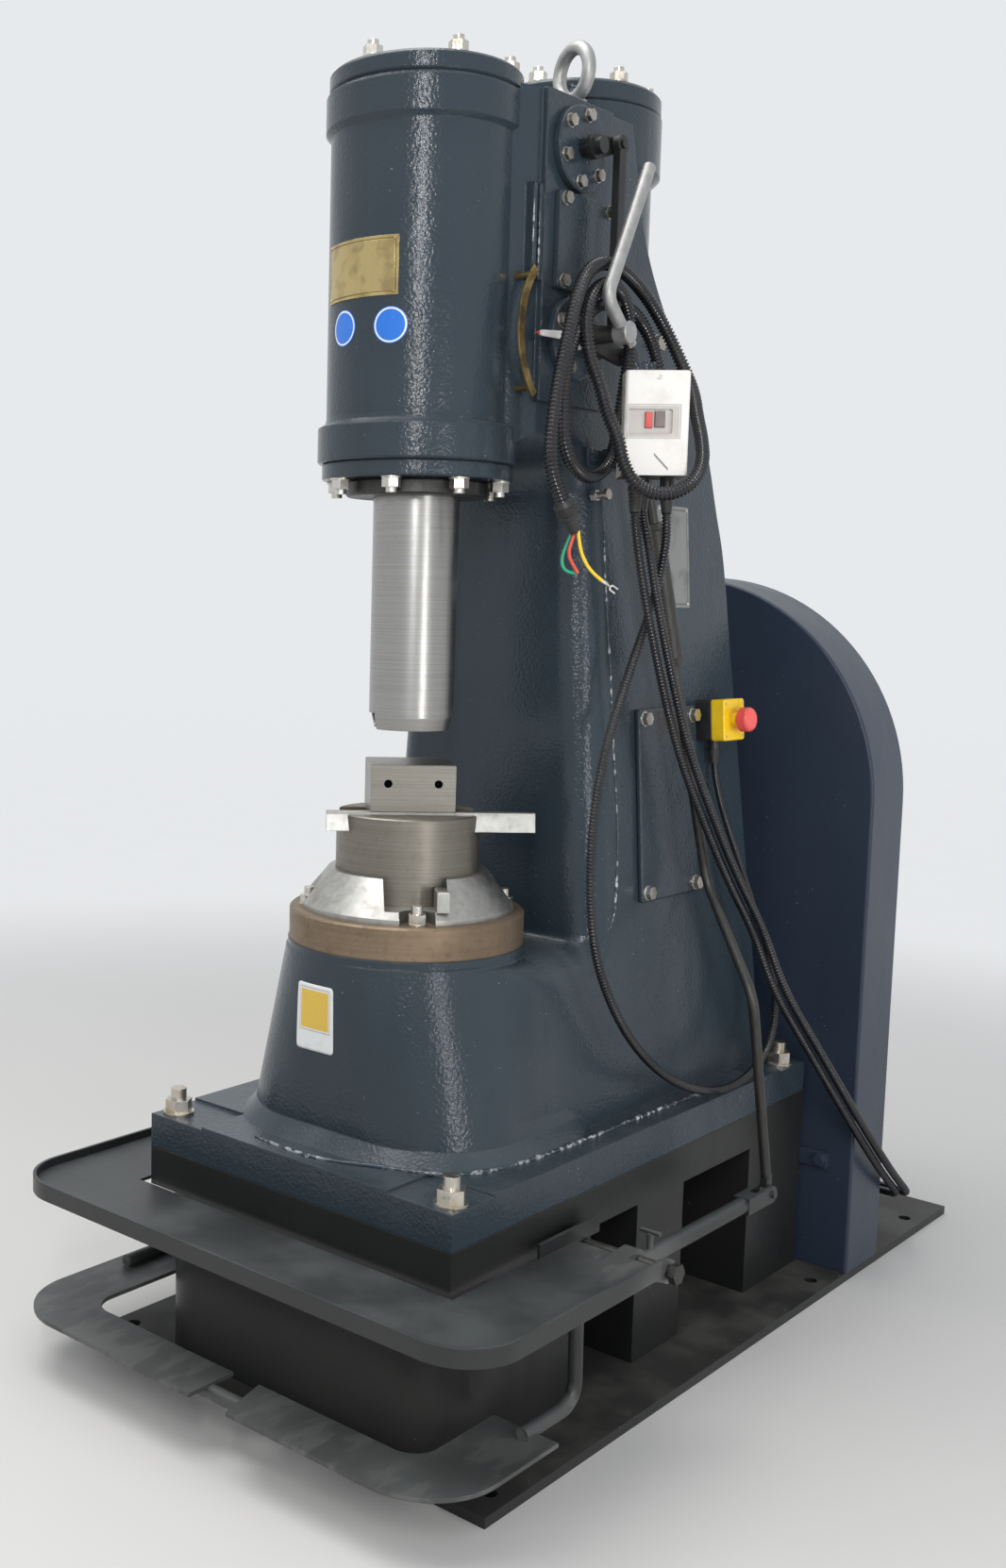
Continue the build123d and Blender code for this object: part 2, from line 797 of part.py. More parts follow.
# Nameplate bent round the ram barrel
plate_arc = (-123.5, -64.5)
with BuildPart() as nameplate:
    with BuildSketch(Plane.XY.offset(1590)):
        Circle(barrel_r + 1.6)
        Circle(barrel_r, mode=Mode.SUBTRACT)
        with BuildLine():
            reach = 2 * barrel_r
            Polyline(
                (0, 0),
                (reach * cos(radians(plate_arc[0])), reach * sin(radians(plate_arc[0]))),
                (reach * cos(radians(plate_arc[1])), reach * sin(radians(plate_arc[1]))),
                (0, 0),
            )
        make_face(mode=Mode.INTERSECT)
    extrude(amount=80)
save(nameplate, "nameplate")

# Valve gear: caps, chest cover, quadrant and the two rotary valves
with BuildPart() as valve_caps:
    with BuildSketch(Plane.YZ.offset(valve_face_x)):
        for z in (upper_valve_z, lower_valve_z):
            with Locations((valve_y, z)):
                Circle(valve_cap_r)
                Circle(spindle_r + running_gap, mode=Mode.SUBTRACT)
    extrude(amount=valve_cap_t)
    chamfer(
        valve_caps.edges().filter_by(GeomType.CIRCLE).group_by(Axis.X)[-1].sort_by(
            SortBy.RADIUS
        )[-2:],
        2,
    )
save(valve_caps, "valve_caps")

chest_w, chest_h, chest_t = 138.0, 136.0, 10.0
chest_z = (upper_valve_z + lower_valve_z) / 2
with BuildPart() as valve_cover:
    with BuildSketch(Plane.YZ.offset(valve_face_x)):
        with Locations((valve_y + 18, chest_z)):
            RectangleRounded(chest_w, chest_h, 5)
    extrude(amount=chest_t)
save(valve_cover, "valve_cover")

with BuildPart() as valve_bolts:
    bolt = hex_bolt(16, 7, 10, 1.5)
    with Locations(
        Plane.YZ.offset(valve_face_x + valve_cap_t)
        * Pos(valve_y, upper_valve_z, 0)
    ):
        with PolarLocations(valve_cap_r - 12, 6, start_angle=80):
            add(bolt)
    with Locations(
        Plane.YZ.offset(valve_face_x + valve_cap_t)
        * Pos(valve_y, lower_valve_z, 0)
    ):
        with PolarLocations(valve_cap_r - 12, 4, start_angle=65):
            add(bolt)
    with Locations(
        Plane.YZ.offset(valve_face_x + chest_t) * Pos(valve_y + 18, chest_z, 0)
    ):
        with GridLocations(chest_w - 24, chest_h - 22, 2, 2):
            add(bolt)
    with Locations(Plane.YZ.offset(column_head_half_x) * Pos(397, 1580, 0)):
        add(hex_bolt(22, 10, 14, 2.5))
save(valve_bolts, "valve_bolts")

pivot_upper = Vector(0, valve_y, upper_valve_z)
pivot_lower = Vector(0, valve_y, lower_valve_z)
arm_tilt = 12.0
arm_x0 = valve_face_x + 24
arm_t = 10.0
pin_r = 6.0
link_x0 = arm_x0 + arm_t + 2
link_t = 12.0
link_pin = Vector(
    0, crank_arm * cos(radians(arm_tilt)), crank_arm * sin(radians(arm_tilt))
)
rod_pin = Vector(
    0, rod_arm * cos(radians(-arm_tilt)), rod_arm * sin(radians(-arm_tilt))
)
rotor_x0 = valve_face_x - 57


def yz_plane(x):
    """Plane across the X axis at x, its x along +Y and its y along +Z."""
    return Plane.YZ.offset(x)


def crank_web(centre, pins, hub_radius, x, thickness):
    """Flat crank that joins a hub to one or more pins, as one tapered web."""
    with BuildPart() as web:
        for pin in pins:
            with BuildSketch(yz_plane(x)):
                with BuildLine():
                    along = (pin.Y**2 + pin.Z**2) ** 0.5
                    side = Vector(0, -pin.Z / along, pin.Y / along)
                    a, b = centre + side * hub_radius, centre - side * hub_radius
                    c, d = centre + pin - side * 11, centre + pin + side * 11
                    Polyline((a.Y, a.Z), (b.Y, b.Z), (c.Y, c.Z), (d.Y, d.Z), (a.Y, a.Z))
                make_face()
                with Locations((centre.Y, centre.Z)):
                    Circle(hub_radius)
                with Locations((centre.Y + pin.Y, centre.Z + pin.Z)):
                    Circle(11)
            extrude(amount=thickness)
    return web.part


with BuildPart() as upper_spindle:
    with BuildSketch(yz_plane(rotor_x0)):
        with Locations((valve_y, upper_valve_z)):
            Circle(valve_bore_r)
    extrude(amount=valve_face_x - 0.5 - rotor_x0)
    with BuildSketch(yz_plane(rotor_x0)):
        with Locations((valve_y, upper_valve_z)):
            Circle(spindle_r)
    extrude(amount=arm_x0 + arm_t + 12 - rotor_x0)
    add(crank_web(pivot_upper, [link_pin], 17, arm_x0, arm_t))
    with BuildSketch(yz_plane(arm_x0)):
        with Locations((valve_y + link_pin.Y, upper_valve_z + link_pin.Z)):
            Circle(pin_r)
    extrude(amount=link_x0 + link_t + 3 - arm_x0)
save(upper_spindle, "upper_spindle")

with BuildPart() as link_rod:
    with BuildSketch(yz_plane(link_x0)):
        with BuildLine():
            top = pivot_upper + link_pin
            low = pivot_lower + link_pin
            Polyline(
                (top.Y - 8, top.Z), (top.Y + 8, top.Z),
                (low.Y + 8, low.Z), (low.Y - 8, low.Z), (top.Y - 8, top.Z),
            )
        make_face()
        for eye in (top, low):
            with Locations((eye.Y, eye.Z)):
                Circle(13)
        with Locations((top.Y, top.Z)):
            Circle(pin_r + running_gap, mode=Mode.SUBTRACT)
        with Locations((low.Y, low.Z)):
            Circle(pin_r + 0.5, mode=Mode.SUBTRACT)
    extrude(amount=link_t)
save(link_rod, "link_rod")

with BuildPart() as lower_spindle:
    with BuildSketch(yz_plane(rotor_x0)):
        with Locations((valve_y, lower_valve_z)):
            Circle(valve_bore_r)
    extrude(amount=valve_face_x - 0.5 - rotor_x0)
    with BuildSketch(yz_plane(rotor_x0)):
        with Locations((valve_y, lower_valve_z)):
            Circle(spindle_r)
    extrude(amount=lever_x + 9 - rotor_x0)
    add(crank_web(pivot_lower, [link_pin, rod_pin], 17, arm_x0, arm_t))
    with BuildSketch(yz_plane(arm_x0)):
        for pin in (link_pin, rod_pin):
            with Locations((valve_y + pin.Y, lower_valve_z + pin.Z)):
                Circle(pin_r)
    extrude(amount=link_x0 + link_t + 3 - arm_x0)
save(lower_spindle, "lower_spindle")

lever_bend = Vector(lever_x, 100, 1598)
lever_tip = Vector(lever_x, 199, 1794)
hub_centre = Vector(lever_x, valve_y, lower_valve_z)
lever_root = hub_centre + (lever_bend - hub_centre).normalized() * (hub_r - 1)
with BuildPart() as hand_lever:
    with BuildLine():
        lever_line = FilletPolyline(lever_root, lever_bend, lever_tip, radius=24)
    with BuildSketch(Plane(origin=lever_line @ 0, z_dir=lever_line % 0)):
        Circle(lever_r)
    sweep()
    fillet(hand_lever.edges().filter_by(GeomType.CIRCLE).sort_by(Axis.Z)[-1], 4)
    with BuildSketch(yz_plane(lever_x - 12)):
        with Locations((valve_y, lower_valve_z)):
            Circle(hub_r)
    extrude(amount=24)
    chamfer(
        hand_lever.edges().filter_by(GeomType.CIRCLE).filter_by(
            lambda e: abs(e.radius - hub_r) < 0.1
        ),
        1.5,
    )
    with BuildSketch(yz_plane(lever_x - 12)):
        with Locations((valve_y, lower_valve_z)):
            Circle(spindle_r + running_gap)
    extrude(amount=21, mode=Mode.SUBTRACT)
    with BuildSketch(
        Plane(
            origin=hub_centre + Vector(3, (hub_r - 1) * 0.766, -(hub_r - 1) * 0.643),
            z_dir=(0, 0.766, -0.643),
        )
    ):
        RegularPolygon(7, 6)
    extrude(amount=8)
save(hand_lever, "hand_lever")

pointer_x = valve_face_x + valve_cap_t + 3
with BuildPart() as pointer:
    with BuildSketch(yz_plane(pointer_x)):
        with BuildLine():
            Polyline(
                (valve_y - 15.5, lower_valve_z + 7), (valve_y - 15.5, lower_valve_z - 7),
                (valve_y - 96, lower_valve_z - 9), (valve_y - 112, lower_valve_z - 6),
                (valve_y - 96, lower_valve_z - 1), (valve_y - 15.5, lower_valve_z + 7),
            )
        make_face()
    extrude(amount=3)
    with BuildSketch(yz_plane(pointer_x)):
        with Locations((valve_y, lower_valve_z)):
            Circle(17)
            Circle(spindle_r + running_gap, mode=Mode.SUBTRACT)
    extrude(amount=arm_x0 - pointer_x)
save(pointer, "pointer")

quadrant_ends = (140.0, 223.0)
quadrant_x = valve_face_x + 4
with BuildPart() as quadrant:
    with BuildSketch(yz_plane(quadrant_x)):
        with BuildLine():
            inner_r = quadrant_r - quadrant_w
            outer = CenterArc(
                (valve_y, lower_valve_z), quadrant_r,
                quadrant_ends[0], quadrant_ends[1] - quadrant_ends[0],
            )
            inner = CenterArc(
                (valve_y, lower_valve_z), inner_r,
                quadrant_ends[0], quadrant_ends[1] - quadrant_ends[0],
            )
            Line(outer @ 0, inner @ 0)
            Line(outer @ 1, inner @ 1)
        make_face()
    extrude(amount=3)
    with BuildSketch(yz_plane(quadrant_x)):
        for angle in (quadrant_ends[0] + 5, quadrant_ends[1] - 5):
            with Locations(
                (
                    valve_y + (quadrant_r - quadrant_w / 2) * cos(radians(angle)),
                    lower_valve_z + (quadrant_r - quadrant_w / 2) * sin(radians(angle)),
                )
            ):
                Circle(4)
    extrude(amount=-32)
    add(hammer_frame.part, mode=Mode.SUBTRACT)
save(quadrant, "quadrant")

# Compressor works inside the casting: crankshaft, connecting rod and piston
rod_t = 40.0
pin_front_y = rear_axis_y + rod_t / 2 + 2
disc_front_y = pin_front_y + crank_pin_l
crank_pin_z = crank_z - crank_throw
wrist_z = crank_pin_z + rod_length
with BuildPart() as crankshaft:
    with BuildSketch(Plane.XZ.offset(-disc_front_y)):
        with Locations((0, crank_z)):
            Circle(crank_disc_r)
    extrude(amount=-crank_disc_t)
    with BuildSketch(Plane.XZ.offset(-pin_front_y)):
        with Locations((0, crank_pin_z)):
            Circle(crank_pin_r)
    extrude(amount=-crank_pin_l)
    with BuildSketch(Plane.XZ.offset(-disc_front_y)):
        with Locations((0, crank_z)):
            Circle(main_shaft_r)
    extrude(amount=-(guard_rear_y - 14 - disc_front_y))
save(crankshaft, "crankshaft")

with BuildPart() as connecting_rod:
    with BuildSketch(Plane.XZ.offset(-(rear_axis_y - rod_t / 2))):
        with BuildLine():
            Polyline(
                (-30, crank_pin_z), (30, crank_pin_z), (17, wrist_z), (-17, wrist_z),
                (-30, crank_pin_z),
            )
        make_face()
        with Locations((0, crank_pin_z)):
            Circle(crank_pin_r + 20)
        with Locations((0, wrist_z)):
            Circle(wrist_pin_r + 12)
        with Locations((0, crank_pin_z)):
            Circle(crank_pin_r + running_gap, mode=Mode.SUBTRACT)
        with Locations((0, wrist_z)):
            Circle(wrist_pin_r + running_gap, mode=Mode.SUBTRACT)
    extrude(amount=-rod_t)
save(connecting_rod, "connecting_rod")

piston_floor_z = wrist_z - 48
with BuildPart() as comp_piston:
    with Locations((0, rear_axis_y, piston_floor_z)):
        Cylinder(
            comp_bore_r - running_gap, piston_h,
            align=(Align.CENTER, Align.CENTER, Align.MIN),
        )
    with BuildSketch(Plane.XY.offset(piston_floor_z)):
        with Locations((0, rear_axis_y)):
            Rectangle(110, rod_t + 2)
    extrude(amount=48 + wrist_pin_r + 20, mode=Mode.SUBTRACT)
    with BuildSketch(Plane.XZ.offset(-(rear_axis_y - 60))):
        with Locations((0, wrist_z)):
            Circle(wrist_pin_r)
    extrude(amount=-120)
save(comp_piston, "comp_piston")

# Belt drive: flywheel pulley, motor pulley, belts, guard and motor
wheel_front_y = (guard_front_y + guard_rear_y - flywheel_w) / 2
with BuildPart() as flywheel:
    with BuildSketch(Plane.XZ.offset(-wheel_front_y)):
        with Locations((0, crank_z)):
            Circle(flywheel_r)
            Circle(main_shaft_r + running_gap, mode=Mode.SUBTRACT)
    extrude(amount=-flywheel_w)
    for face_y, depth in ((wheel_front_y, -26), (wheel_front_y + flywheel_w, 26)):
        with BuildSketch(Plane.XZ.offset(-face_y)):
            with Locations((0, crank_z)):
                Circle(flywheel_r - 30)
                Circle(main_shaft_r + 38, mode=Mode.SUBTRACT)
        extrude(amount=depth, mode=Mode.SUBTRACT)
    with BuildSketch(Plane.XZ.offset(-wheel_front_y)):
        with Locations((0, crank_z)):
            with PolarLocations(190, 6):
                Circle(54)
    extrude(amount=-flywheel_w, mode=Mode.SUBTRACT)
save(flywheel, "flywheel")

with BuildPart() as motor_pulley:
    with BuildSketch(Plane.XZ.offset(-wheel_front_y)):
        with Locations((0, motor_axis_z)):
            Circle(motor_pulley_r)
    extrude(amount=-flywheel_w)
    with BuildSketch(Plane.XZ.offset(-wheel_front_y)):
        with Locations((0, motor_axis_z)):
            Circle(motor_shaft_r)
    extrude(amount=-(guard_rear_y + 40 - wheel_front_y))
save(motor_pulley, "motor_pulley")

belt_t = 10.0
belt_w = 17.0
belt_count = 4


def belt_loop(extra):
    """Outline of an open belt drive, standing off both pulleys by extra."""
    big, small = flywheel_r + extra, motor_pulley_r + extra
    rise = crank_z - motor_axis_z
    lean = (big - small) / rise
    side = sqrt(1 - lean**2)
    with BuildSketch() as outline:
        with Locations((0, crank_z)):
            Circle(big)
        with Locations((0, motor_axis_z)):
            Circle(small)
        with BuildLine():
            Polyline(
                (big * side, crank_z - big * lean),
                (small * side, motor_axis_z - small * lean),
                (-small * side, motor_axis_z - small * lean),
                (-big * side, crank_z - big * lean),
                (big * side, crank_z - big * lean),
            )
        make_face()
    return outline.sketch


belt_step = flywheel_w / belt_count
with BuildPart() as v_belts:
    for i in range(belt_count):
        belt_y = wheel_front_y + (i + 0.5) * belt_step - belt_w / 2
        with BuildSketch(Plane.XZ.offset(-belt_y)):
            add(belt_loop(fit_gap + belt_t))
            add(belt_loop(fit_gap), mode=Mode.SUBTRACT)
        extrude(amount=-belt_w)
save(v_belts, "v_belts")


def guard_outline(inset):
    """Arch of the belt guard, drawn in X and Z."""
    with BuildSketch() as outline:
        with Locations((0, crank_z)):
            Circle(guard_r - inset)
        with Locations((0, (plate_t + crank_z) / 2)):
            Rectangle(2 * (guard_r - inset), crank_z - plate_t)
    return outline.sketch


with BuildPart() as belt_guard:
    with BuildSketch(Plane.XZ.offset(-guard_front_y)):
        add(guard_outline(0))
    extrude(amount=-(guard_rear_y - guard_front_y))
    fillet(
        belt_guard.edges().filter_by(GeomType.CIRCLE)
        + belt_guard.edges().filter_by(Axis.Z),
        5,
    )
    with BuildSketch(Plane.XZ.offset(-guard_front_y - guard_t)):
        add(guard_outline(guard_t))
        with Locations((0, plate_t + guard_t / 2)):
            Rectangle(2 * (guard_r - guard_t), guard_t)
    extrude(amount=-(guard_rear_y - guard_front_y - 2 * guard_t), mode=Mode.SUBTRACT)
    with BuildSketch(Plane.XZ.offset(-guard_front_y + 1)):
        with Locations((0, crank_z)):
            Circle(main_shaft_r + 6)
    extrude(amount=-(guard_t + 2), mode=Mode.SUBTRACT)
    with BuildSketch(Plane.XZ.offset(-guard_rear_y + guard_t + 1)):
        with Locations((0, motor_axis_z)):
            Circle(motor_shaft_r + 6)
    extrude(amount=-(guard_t + 2), mode=Mode.SUBTRACT)
save(belt_guard, "belt_guard")

with BuildPart() as guard_bracket:
    with BuildSketch(Plane.XZ.offset(-base_rear_y)):
        with Locations((base_half_x - 10, 210)):
            Rectangle(120, 26)
    extrude(amount=-(guard_front_y - base_rear_y))
    with BuildSketch(Plane.XZ.offset(-base_rear_y)):
        with Locations((base_half_x + 38, 212)):
            RegularPolygon(11, 6)
    extrude(amount=9)
save(guard_bracket, "guard_bracket")

motor_front_y = guard_rear_y + 10
gland_r = 10.0
gland_l = 20.0
motor_gland_x = 131.0
motor_gland_y = (motor_front_y + 108, motor_front_y + 148)
with BuildPart() as motor:
    with BuildSketch(Plane.XZ.offset(-motor_front_y)):
        with Locations((0, motor_axis_z)):
            Circle(motor_body_r - 22)
    extrude(amount=-motor_body_l)
    with BuildSketch(Plane.XZ.offset(-motor_front_y - 42)):
        with Locations((0, motor_axis_z)):
            with PolarLocations(motor_body_r - 12, 24):
                Rectangle(24, 5)
    extrude(amount=-(motor_body_l - 120))
    with BuildSketch(Plane.XZ.offset(-motor_front_y)):
        with Locations((0, motor_axis_z)):
            Circle(motor_body_r - 6)
    extrude(amount=-42)
    with BuildSketch(Plane.XZ.offset(-motor_front_y - motor_body_l + 78)):
        with Locations((0, motor_axis_z)):
            Circle(motor_body_r)
    extrude(amount=-94)
    fillet(motor.edges().filter_by(GeomType.CIRCLE).sort_by(Axis.Y)[-1], 14)
    with BuildSketch(Plane.XZ.offset(-motor_front_y + 1)):
        with Locations((0, motor_axis_z)):
            Circle(motor_shaft_r + running_gap)
    extrude(amount=-36, mode=Mode.SUBTRACT)
    foot_top_z = motor_axis_z - motor_body_r + 18
    with BuildSketch(Plane.XZ.offset(-motor_front_y - 60)):
        with Locations((0, foot_top_z - 9)):
            Rectangle(200, 18)
        with Locations((-72, foot_top_z + 16), (72, foot_top_z + 16)):
            Rectangle(30, 50)
    extrude(amount=-140)
    with BuildSketch(Plane.YZ.offset(60)):
        with Locations((motor_front_y + 128, motor_axis_z + 40)):
            RectangleRounded(96, 80, 8)
    extrude(amount=84)
    with BuildSketch(Plane.XY.offset(motor_axis_z)):
        with Locations([(motor_gland_x, y) for y in motor_gland_y]):
            Circle(gland_r)
    extrude(amount=-gland_l)
save(motor, "motor")

motor_foot_z = motor_axis_z - motor_body_r
with BuildPart() as motor_stand:
    for x in (-82, 82):
        with BuildSketch(Plane.XY.offset(plate_t)):
            with Locations((x, motor_front_y + 130)):
                Rectangle(60, 210)
                Rectangle(48, 211, mode=Mode.SUBTRACT)
        extrude(amount=motor_foot_z - plate_t)
    with BuildSketch(Plane.XY.offset(motor_foot_z - 8)):
        with Locations((0, motor_front_y + 130)):
            Rectangle(226, 210)
    extrude(amount=8)
save(motor_stand, "motor_stand")

# Treadle: tray, foot plates, bent stays and the arm that lifts the control rod
pin_bar_r = 9.0
lug_r = 17.0
boss_x = base_half_x + boss_l
ear_x = tray_half_x - rim_t - 7
tray_z = rim_top_z - tray_sink - rim_t
tray_inner_x = boss_x - 1
tray_inner_front_y = base_front_y - 12
clevis_gap = 0.5
clevis_cheek = 7.0
eye_t = 12.0


def front_rounded(half_x, front_y, rear_y, corner):
    """Rectangle centred on X = 0 whose two front corners are rounded."""
    with BuildSketch() as outline:
        with Locations((0, (front_y + rear_y) / 2)):
            Rectangle(2 * half_x, rear_y - front_y)
        fillet(outline.vertices().group_by(Axis.Y)[0], corner)
    return outline.sketch


with BuildPart() as treadle:
    with BuildSketch(Plane.XY.offset(tray_z)):
        add(front_rounded(tray_half_x, tray_front_y, tray_rear_y, tray_corner_r))
        with Locations((0, (tray_inner_front_y + tray_rear_y + 1) / 2)):
            Rectangle(
                2 * tray_inner_x, tray_rear_y + 1 - tray_inner_front_y,
                mode=Mode.SUBTRACT,
            )
    extrude(amount=rim_t)
    with BuildSketch(Plane.XY.offset(rim_top_z - rim_h)):
        add(front_rounded(tray_half_x, tray_front_y, tray_rear_y, tray_corner_r))
        add(
            front_rounded(
                tray_half_x - rim_t, tray_front_y + rim_t, tray_rear_y + 1,
                tray_corner_r - rim_t,
            ),
            mode=Mode.SUBTRACT,
        )
    extrude(amount=rim_h)
    # Foot plates: two lobes with a gap that a round bar bridges
    with BuildSketch(Plane.XY.offset(foot_z)):
        add(front_rounded(foot_half_x, foot_front_y, -60, foot_corner_r))
        add(
            front_rounded(foot_inner_x, foot_inner_front_y, -59, 40),
            mode=Mode.SUBTRACT,
        )
        with Locations((foot_half_x, -121)):
            Rectangle(2 * (foot_half_x - foot_inner_x + 10), 128, mode=Mode.SUBTRACT)
        with BuildLine():
            Polyline(
                (-10, foot_front_y - 1), (62, foot_front_y - 1),
                (40, foot_inner_front_y + 1), (-10, foot_inner_front_y + 1),
                (-10, foot_front_y - 1),
            )
        make_face(mode=Mode.SUBTRACT)
    extrude(amount=foot_t)
    with BuildSketch(Plane.YZ.offset(-78)):
        with Locations((foot_inner_front_y - 42, foot_z - 8)):
            Circle(11)
    extrude(amount=140)
    # Upstand beside the base, and the lugs on the pivot pins
    with BuildSketch(Plane.XY.offset(tray_z + 2)):
        with Locations((tray_inner_x + 4, 1)):
            Rectangle(5, 150)
    extrude(amount=24)
    for lug_x, lug_t in (
        (ear_x, 8), (-ear_x - 8, 8), (arm_x - 12.5, 25), (-arm_x - 7, 14),
    ):
        with BuildSketch(yz_plane(lug_x)):
            with Locations((treadle_pivot_y, treadle_pivot_z)):
                Circle(lug_r)
            with BuildLine():
                Polyline(
                    (-20, tray_z + rim_t), (-20, tray_z - 1),
                    (treadle_pivot_y, treadle_pivot_z - lug_r),
                    (treadle_pivot_y, treadle_pivot_z + lug_r),
                    (-20, tray_z + rim_t),
                )
            make_face()
        extrude(amount=lug_t)
for side in (-1, 1):
    with BuildPart() as stay:
        with BuildLine():
            stay_line = FilletPolyline(
                (side * 390, -99, tray_z + 1), (side * 390, -95, foot_z + 15),
                (side * 390, -216, foot_z + 14.5),
                radius=32,
            )
        with BuildSketch(Plane(origin=stay_line @ 0, z_dir=stay_line % 0)):
            Circle(10)
        sweep()
    treadle.part = treadle.part + stay.part
with BuildPart() as treadle_arm:
    with BuildSketch(Plane.XZ.offset(-treadle_pivot_y - 12)):
        with Locations((arm_x, arm_z)):
            Circle(12.5)
    extrude(amount=-(arm_end_y - 88 - treadle_pivot_y))
    cheek_x = eye_t / 2 + clevis_gap
    for x in (arm_x - cheek_x - clevis_cheek, arm_x + cheek_x):
        with BuildSketch(yz_plane(x)):
            with Locations(((arm_end_y * 2 - 50) / 2, arm_z)):
                Rectangle(60, 26)
            with Locations((arm_end_y, arm_z)):
                Circle(13)
        extrude(amount=clevis_cheek)
    with BuildSketch(yz_plane(arm_x - cheek_x - clevis_cheek)):
        with Locations((arm_end_y - 62, arm_z)):
            Rectangle(34, 26)
    extrude(amount=2 * (cheek_x + clevis_cheek))
    with BuildSketch(yz_plane(arm_x - cheek_x - clevis_cheek - 4)):
        with Locations((arm_end_y, arm_z)):
            Circle(pin_r)
    extrude(amount=2 * (cheek_x + clevis_cheek + 4))
    # Clamp screw with its cross bar
    with Locations((arm_x + 2, 91, arm_z + 5)):
        Cylinder(5, 31, align=(Align.CENTER, Align.CENTER, Align.MIN))
    with BuildSketch(yz_plane(arm_x - 14)):
        with Locations((91, arm_z + 38)):
            Circle(3.5)
    extrude(amount=32)
with BuildPart() as pivot_holes:
    with BuildSketch(yz_plane(-tray_half_x)):
        with Locations((treadle_pivot_y, treadle_pivot_z)):
            Circle(pin_bar_r + running_gap)
    extrude(amount=2 * tray_half_x)
treadle.part = treadle.part + treadle_arm.part - pivot_holes.part
save(treadle, "treadle")
print("treadle valid", treadle.part.is_valid, "solids", len(treadle.solids()))

with BuildPart() as treadle_pins:
    for side in (-1, 1):
        with BuildSketch(
            Plane(
                origin=(side * boss_x, treadle_pivot_y, treadle_pivot_z),
                x_dir=(0, side, 0), z_dir=(side, 0, 0),
            )
        ):
            Circle(pin_bar_r)
        extrude(amount=tray_half_x + 2 - boss_x)
        with BuildSketch(
            Plane(
                origin=(side * (tray_half_x + 1), treadle_pivot_y, treadle_pivot_z),
                x_dir=(0, side, 0), z_dir=(side, 0, 0),
            )
        ):
            RegularPolygon(15, 6)
        extrude(amount=11)
save(treadle_pins, "treadle_pins")

rod_eye_x = link_x0
rod_top = Vector(
    rod_eye_x + eye_t / 2, valve_y + rod_pin.Y, lower_valve_z + rod_pin.Z
)
rod_eye_play = 3.0
rod_bends = (Vector(258, 442, 735), Vector(arm_x, 370, 580))
rod_foot = Vector(arm_x, arm_end_y, arm_z)
rod_dir = (rod_bends[0] - rod_top).normalized()
sleeve_r = 15.0
sleeve_from, sleeve_l = 258.0, 198.0
with BuildPart() as treadle_rod:
    with BuildLine():
        rod_line = FilletPolyline(
            rod_top + rod_dir * 13, rod_bends[0], rod_bends[1],
            rod_foot + Vector(0, 0, 24),
            radius=60,
        )
    with BuildSketch(Plane(origin=rod_line @ 0, z_dir=rod_line % 0)):
        Circle(bar_r)
    sweep()
    with BuildSketch(Plane(origin=rod_top + rod_dir * sleeve_from, z_dir=rod_dir)):
        Circle(sleeve_r)
    extrude(amount=sleeve_l)
    with BuildSketch(
        Plane(origin=rod_top + rod_dir * (sleeve_from + sleeve_l), z_dir=rod_dir)
    ):
        RegularPolygon(13, 6)
    extrude(amount=13)
    with BuildSketch(
        Plane(origin=rod_top + rod_dir * (sleeve_from - 11), z_dir=rod_dir)
    ):
        RegularPolygon(12, 6)
    extrude(amount=11)
    with BuildSketch(yz_plane(arm_x - eye_t / 2)):
        with Locations((arm_end_y, arm_z)):
            Circle(13)
        with Locations((arm_end_y, arm_z + 15)):
            Rectangle(16, 30)
    extrude(amount=eye_t)
    with BuildSketch(yz_plane(rod_eye_x)):
        with Locations((rod_top.Y, rod_top.Z)):
            Circle(pin_r + rod_eye_play + 6)
    extrude(amount=eye_t)
    with BuildSketch(yz_plane(rod_eye_x - 4)):
        with Locations((rod_top.Y, rod_top.Z)):
            Circle(pin_r + rod_eye_play)
    extrude(amount=eye_t + 8, mode=Mode.SUBTRACT)
    with BuildSketch(yz_plane(arm_x - 20)):
        with Locations((arm_end_y, arm_z)):
            Circle(pin_r + running_gap)
    extrude(amount=40, mode=Mode.SUBTRACT)
save(treadle_rod, "treadle_rod")

# Emergency stop on the flank
stop_y, stop_z = 545.0, 985.0
stop_size, stop_base_t, stop_lid_t = 68.0, 28.0, 24.0
stop_face = stop_base_t + stop_lid_t
stop_neck_r = 8.0
stop_gland_l = 16.0
with BuildPart() as estop_box:
    with BuildSketch(flank(stop_y, stop_z)):
        RectangleRounded(stop_size, stop_size, 5)
    extrude(amount=stop_face)
    chamfer(estop_box.faces().sort_by(Axis.X)[-1].edges(), 1.5)
    with BuildSketch(flank(stop_y, stop_z, stop_base_t - 0.6)):
        RectangleRounded(stop_size + 1, stop_size + 1, 5)
        RectangleRounded(stop_size - 1.6, stop_size - 1.6, 4, mode=Mode.SUBTRACT)
    extrude(amount=1.2, mode=Mode.SUBTRACT)
    with BuildSketch(flank(stop_y, stop_z, stop_face)):
        Circle(stop_neck_r + 4)
    extrude(amount=8)
    with BuildSketch(flank(stop_y, stop_z, stop_face - 8)):
        Circle(stop_neck_r + running_gap)
    extrude(amount=20, mode=Mode.SUBTRACT)
flank_up = flank(stop_y, stop_z).y_dir
stop_gland_top = (
    flank(stop_y, stop_z, stop_base_t / 2).origin - flank_up * (stop_size / 2)
)
with BuildPart() as stop_gland:
    with BuildSketch(Plane(origin=stop_gland_top + flank_up * 2, z_dir=-flank_up)):
        Circle(gland_r - 1)
    extrude(amount=stop_gland_l + 2)
estop_box.part = estop_box.part + stop_gland.part
save(estop_box, "estop_box")

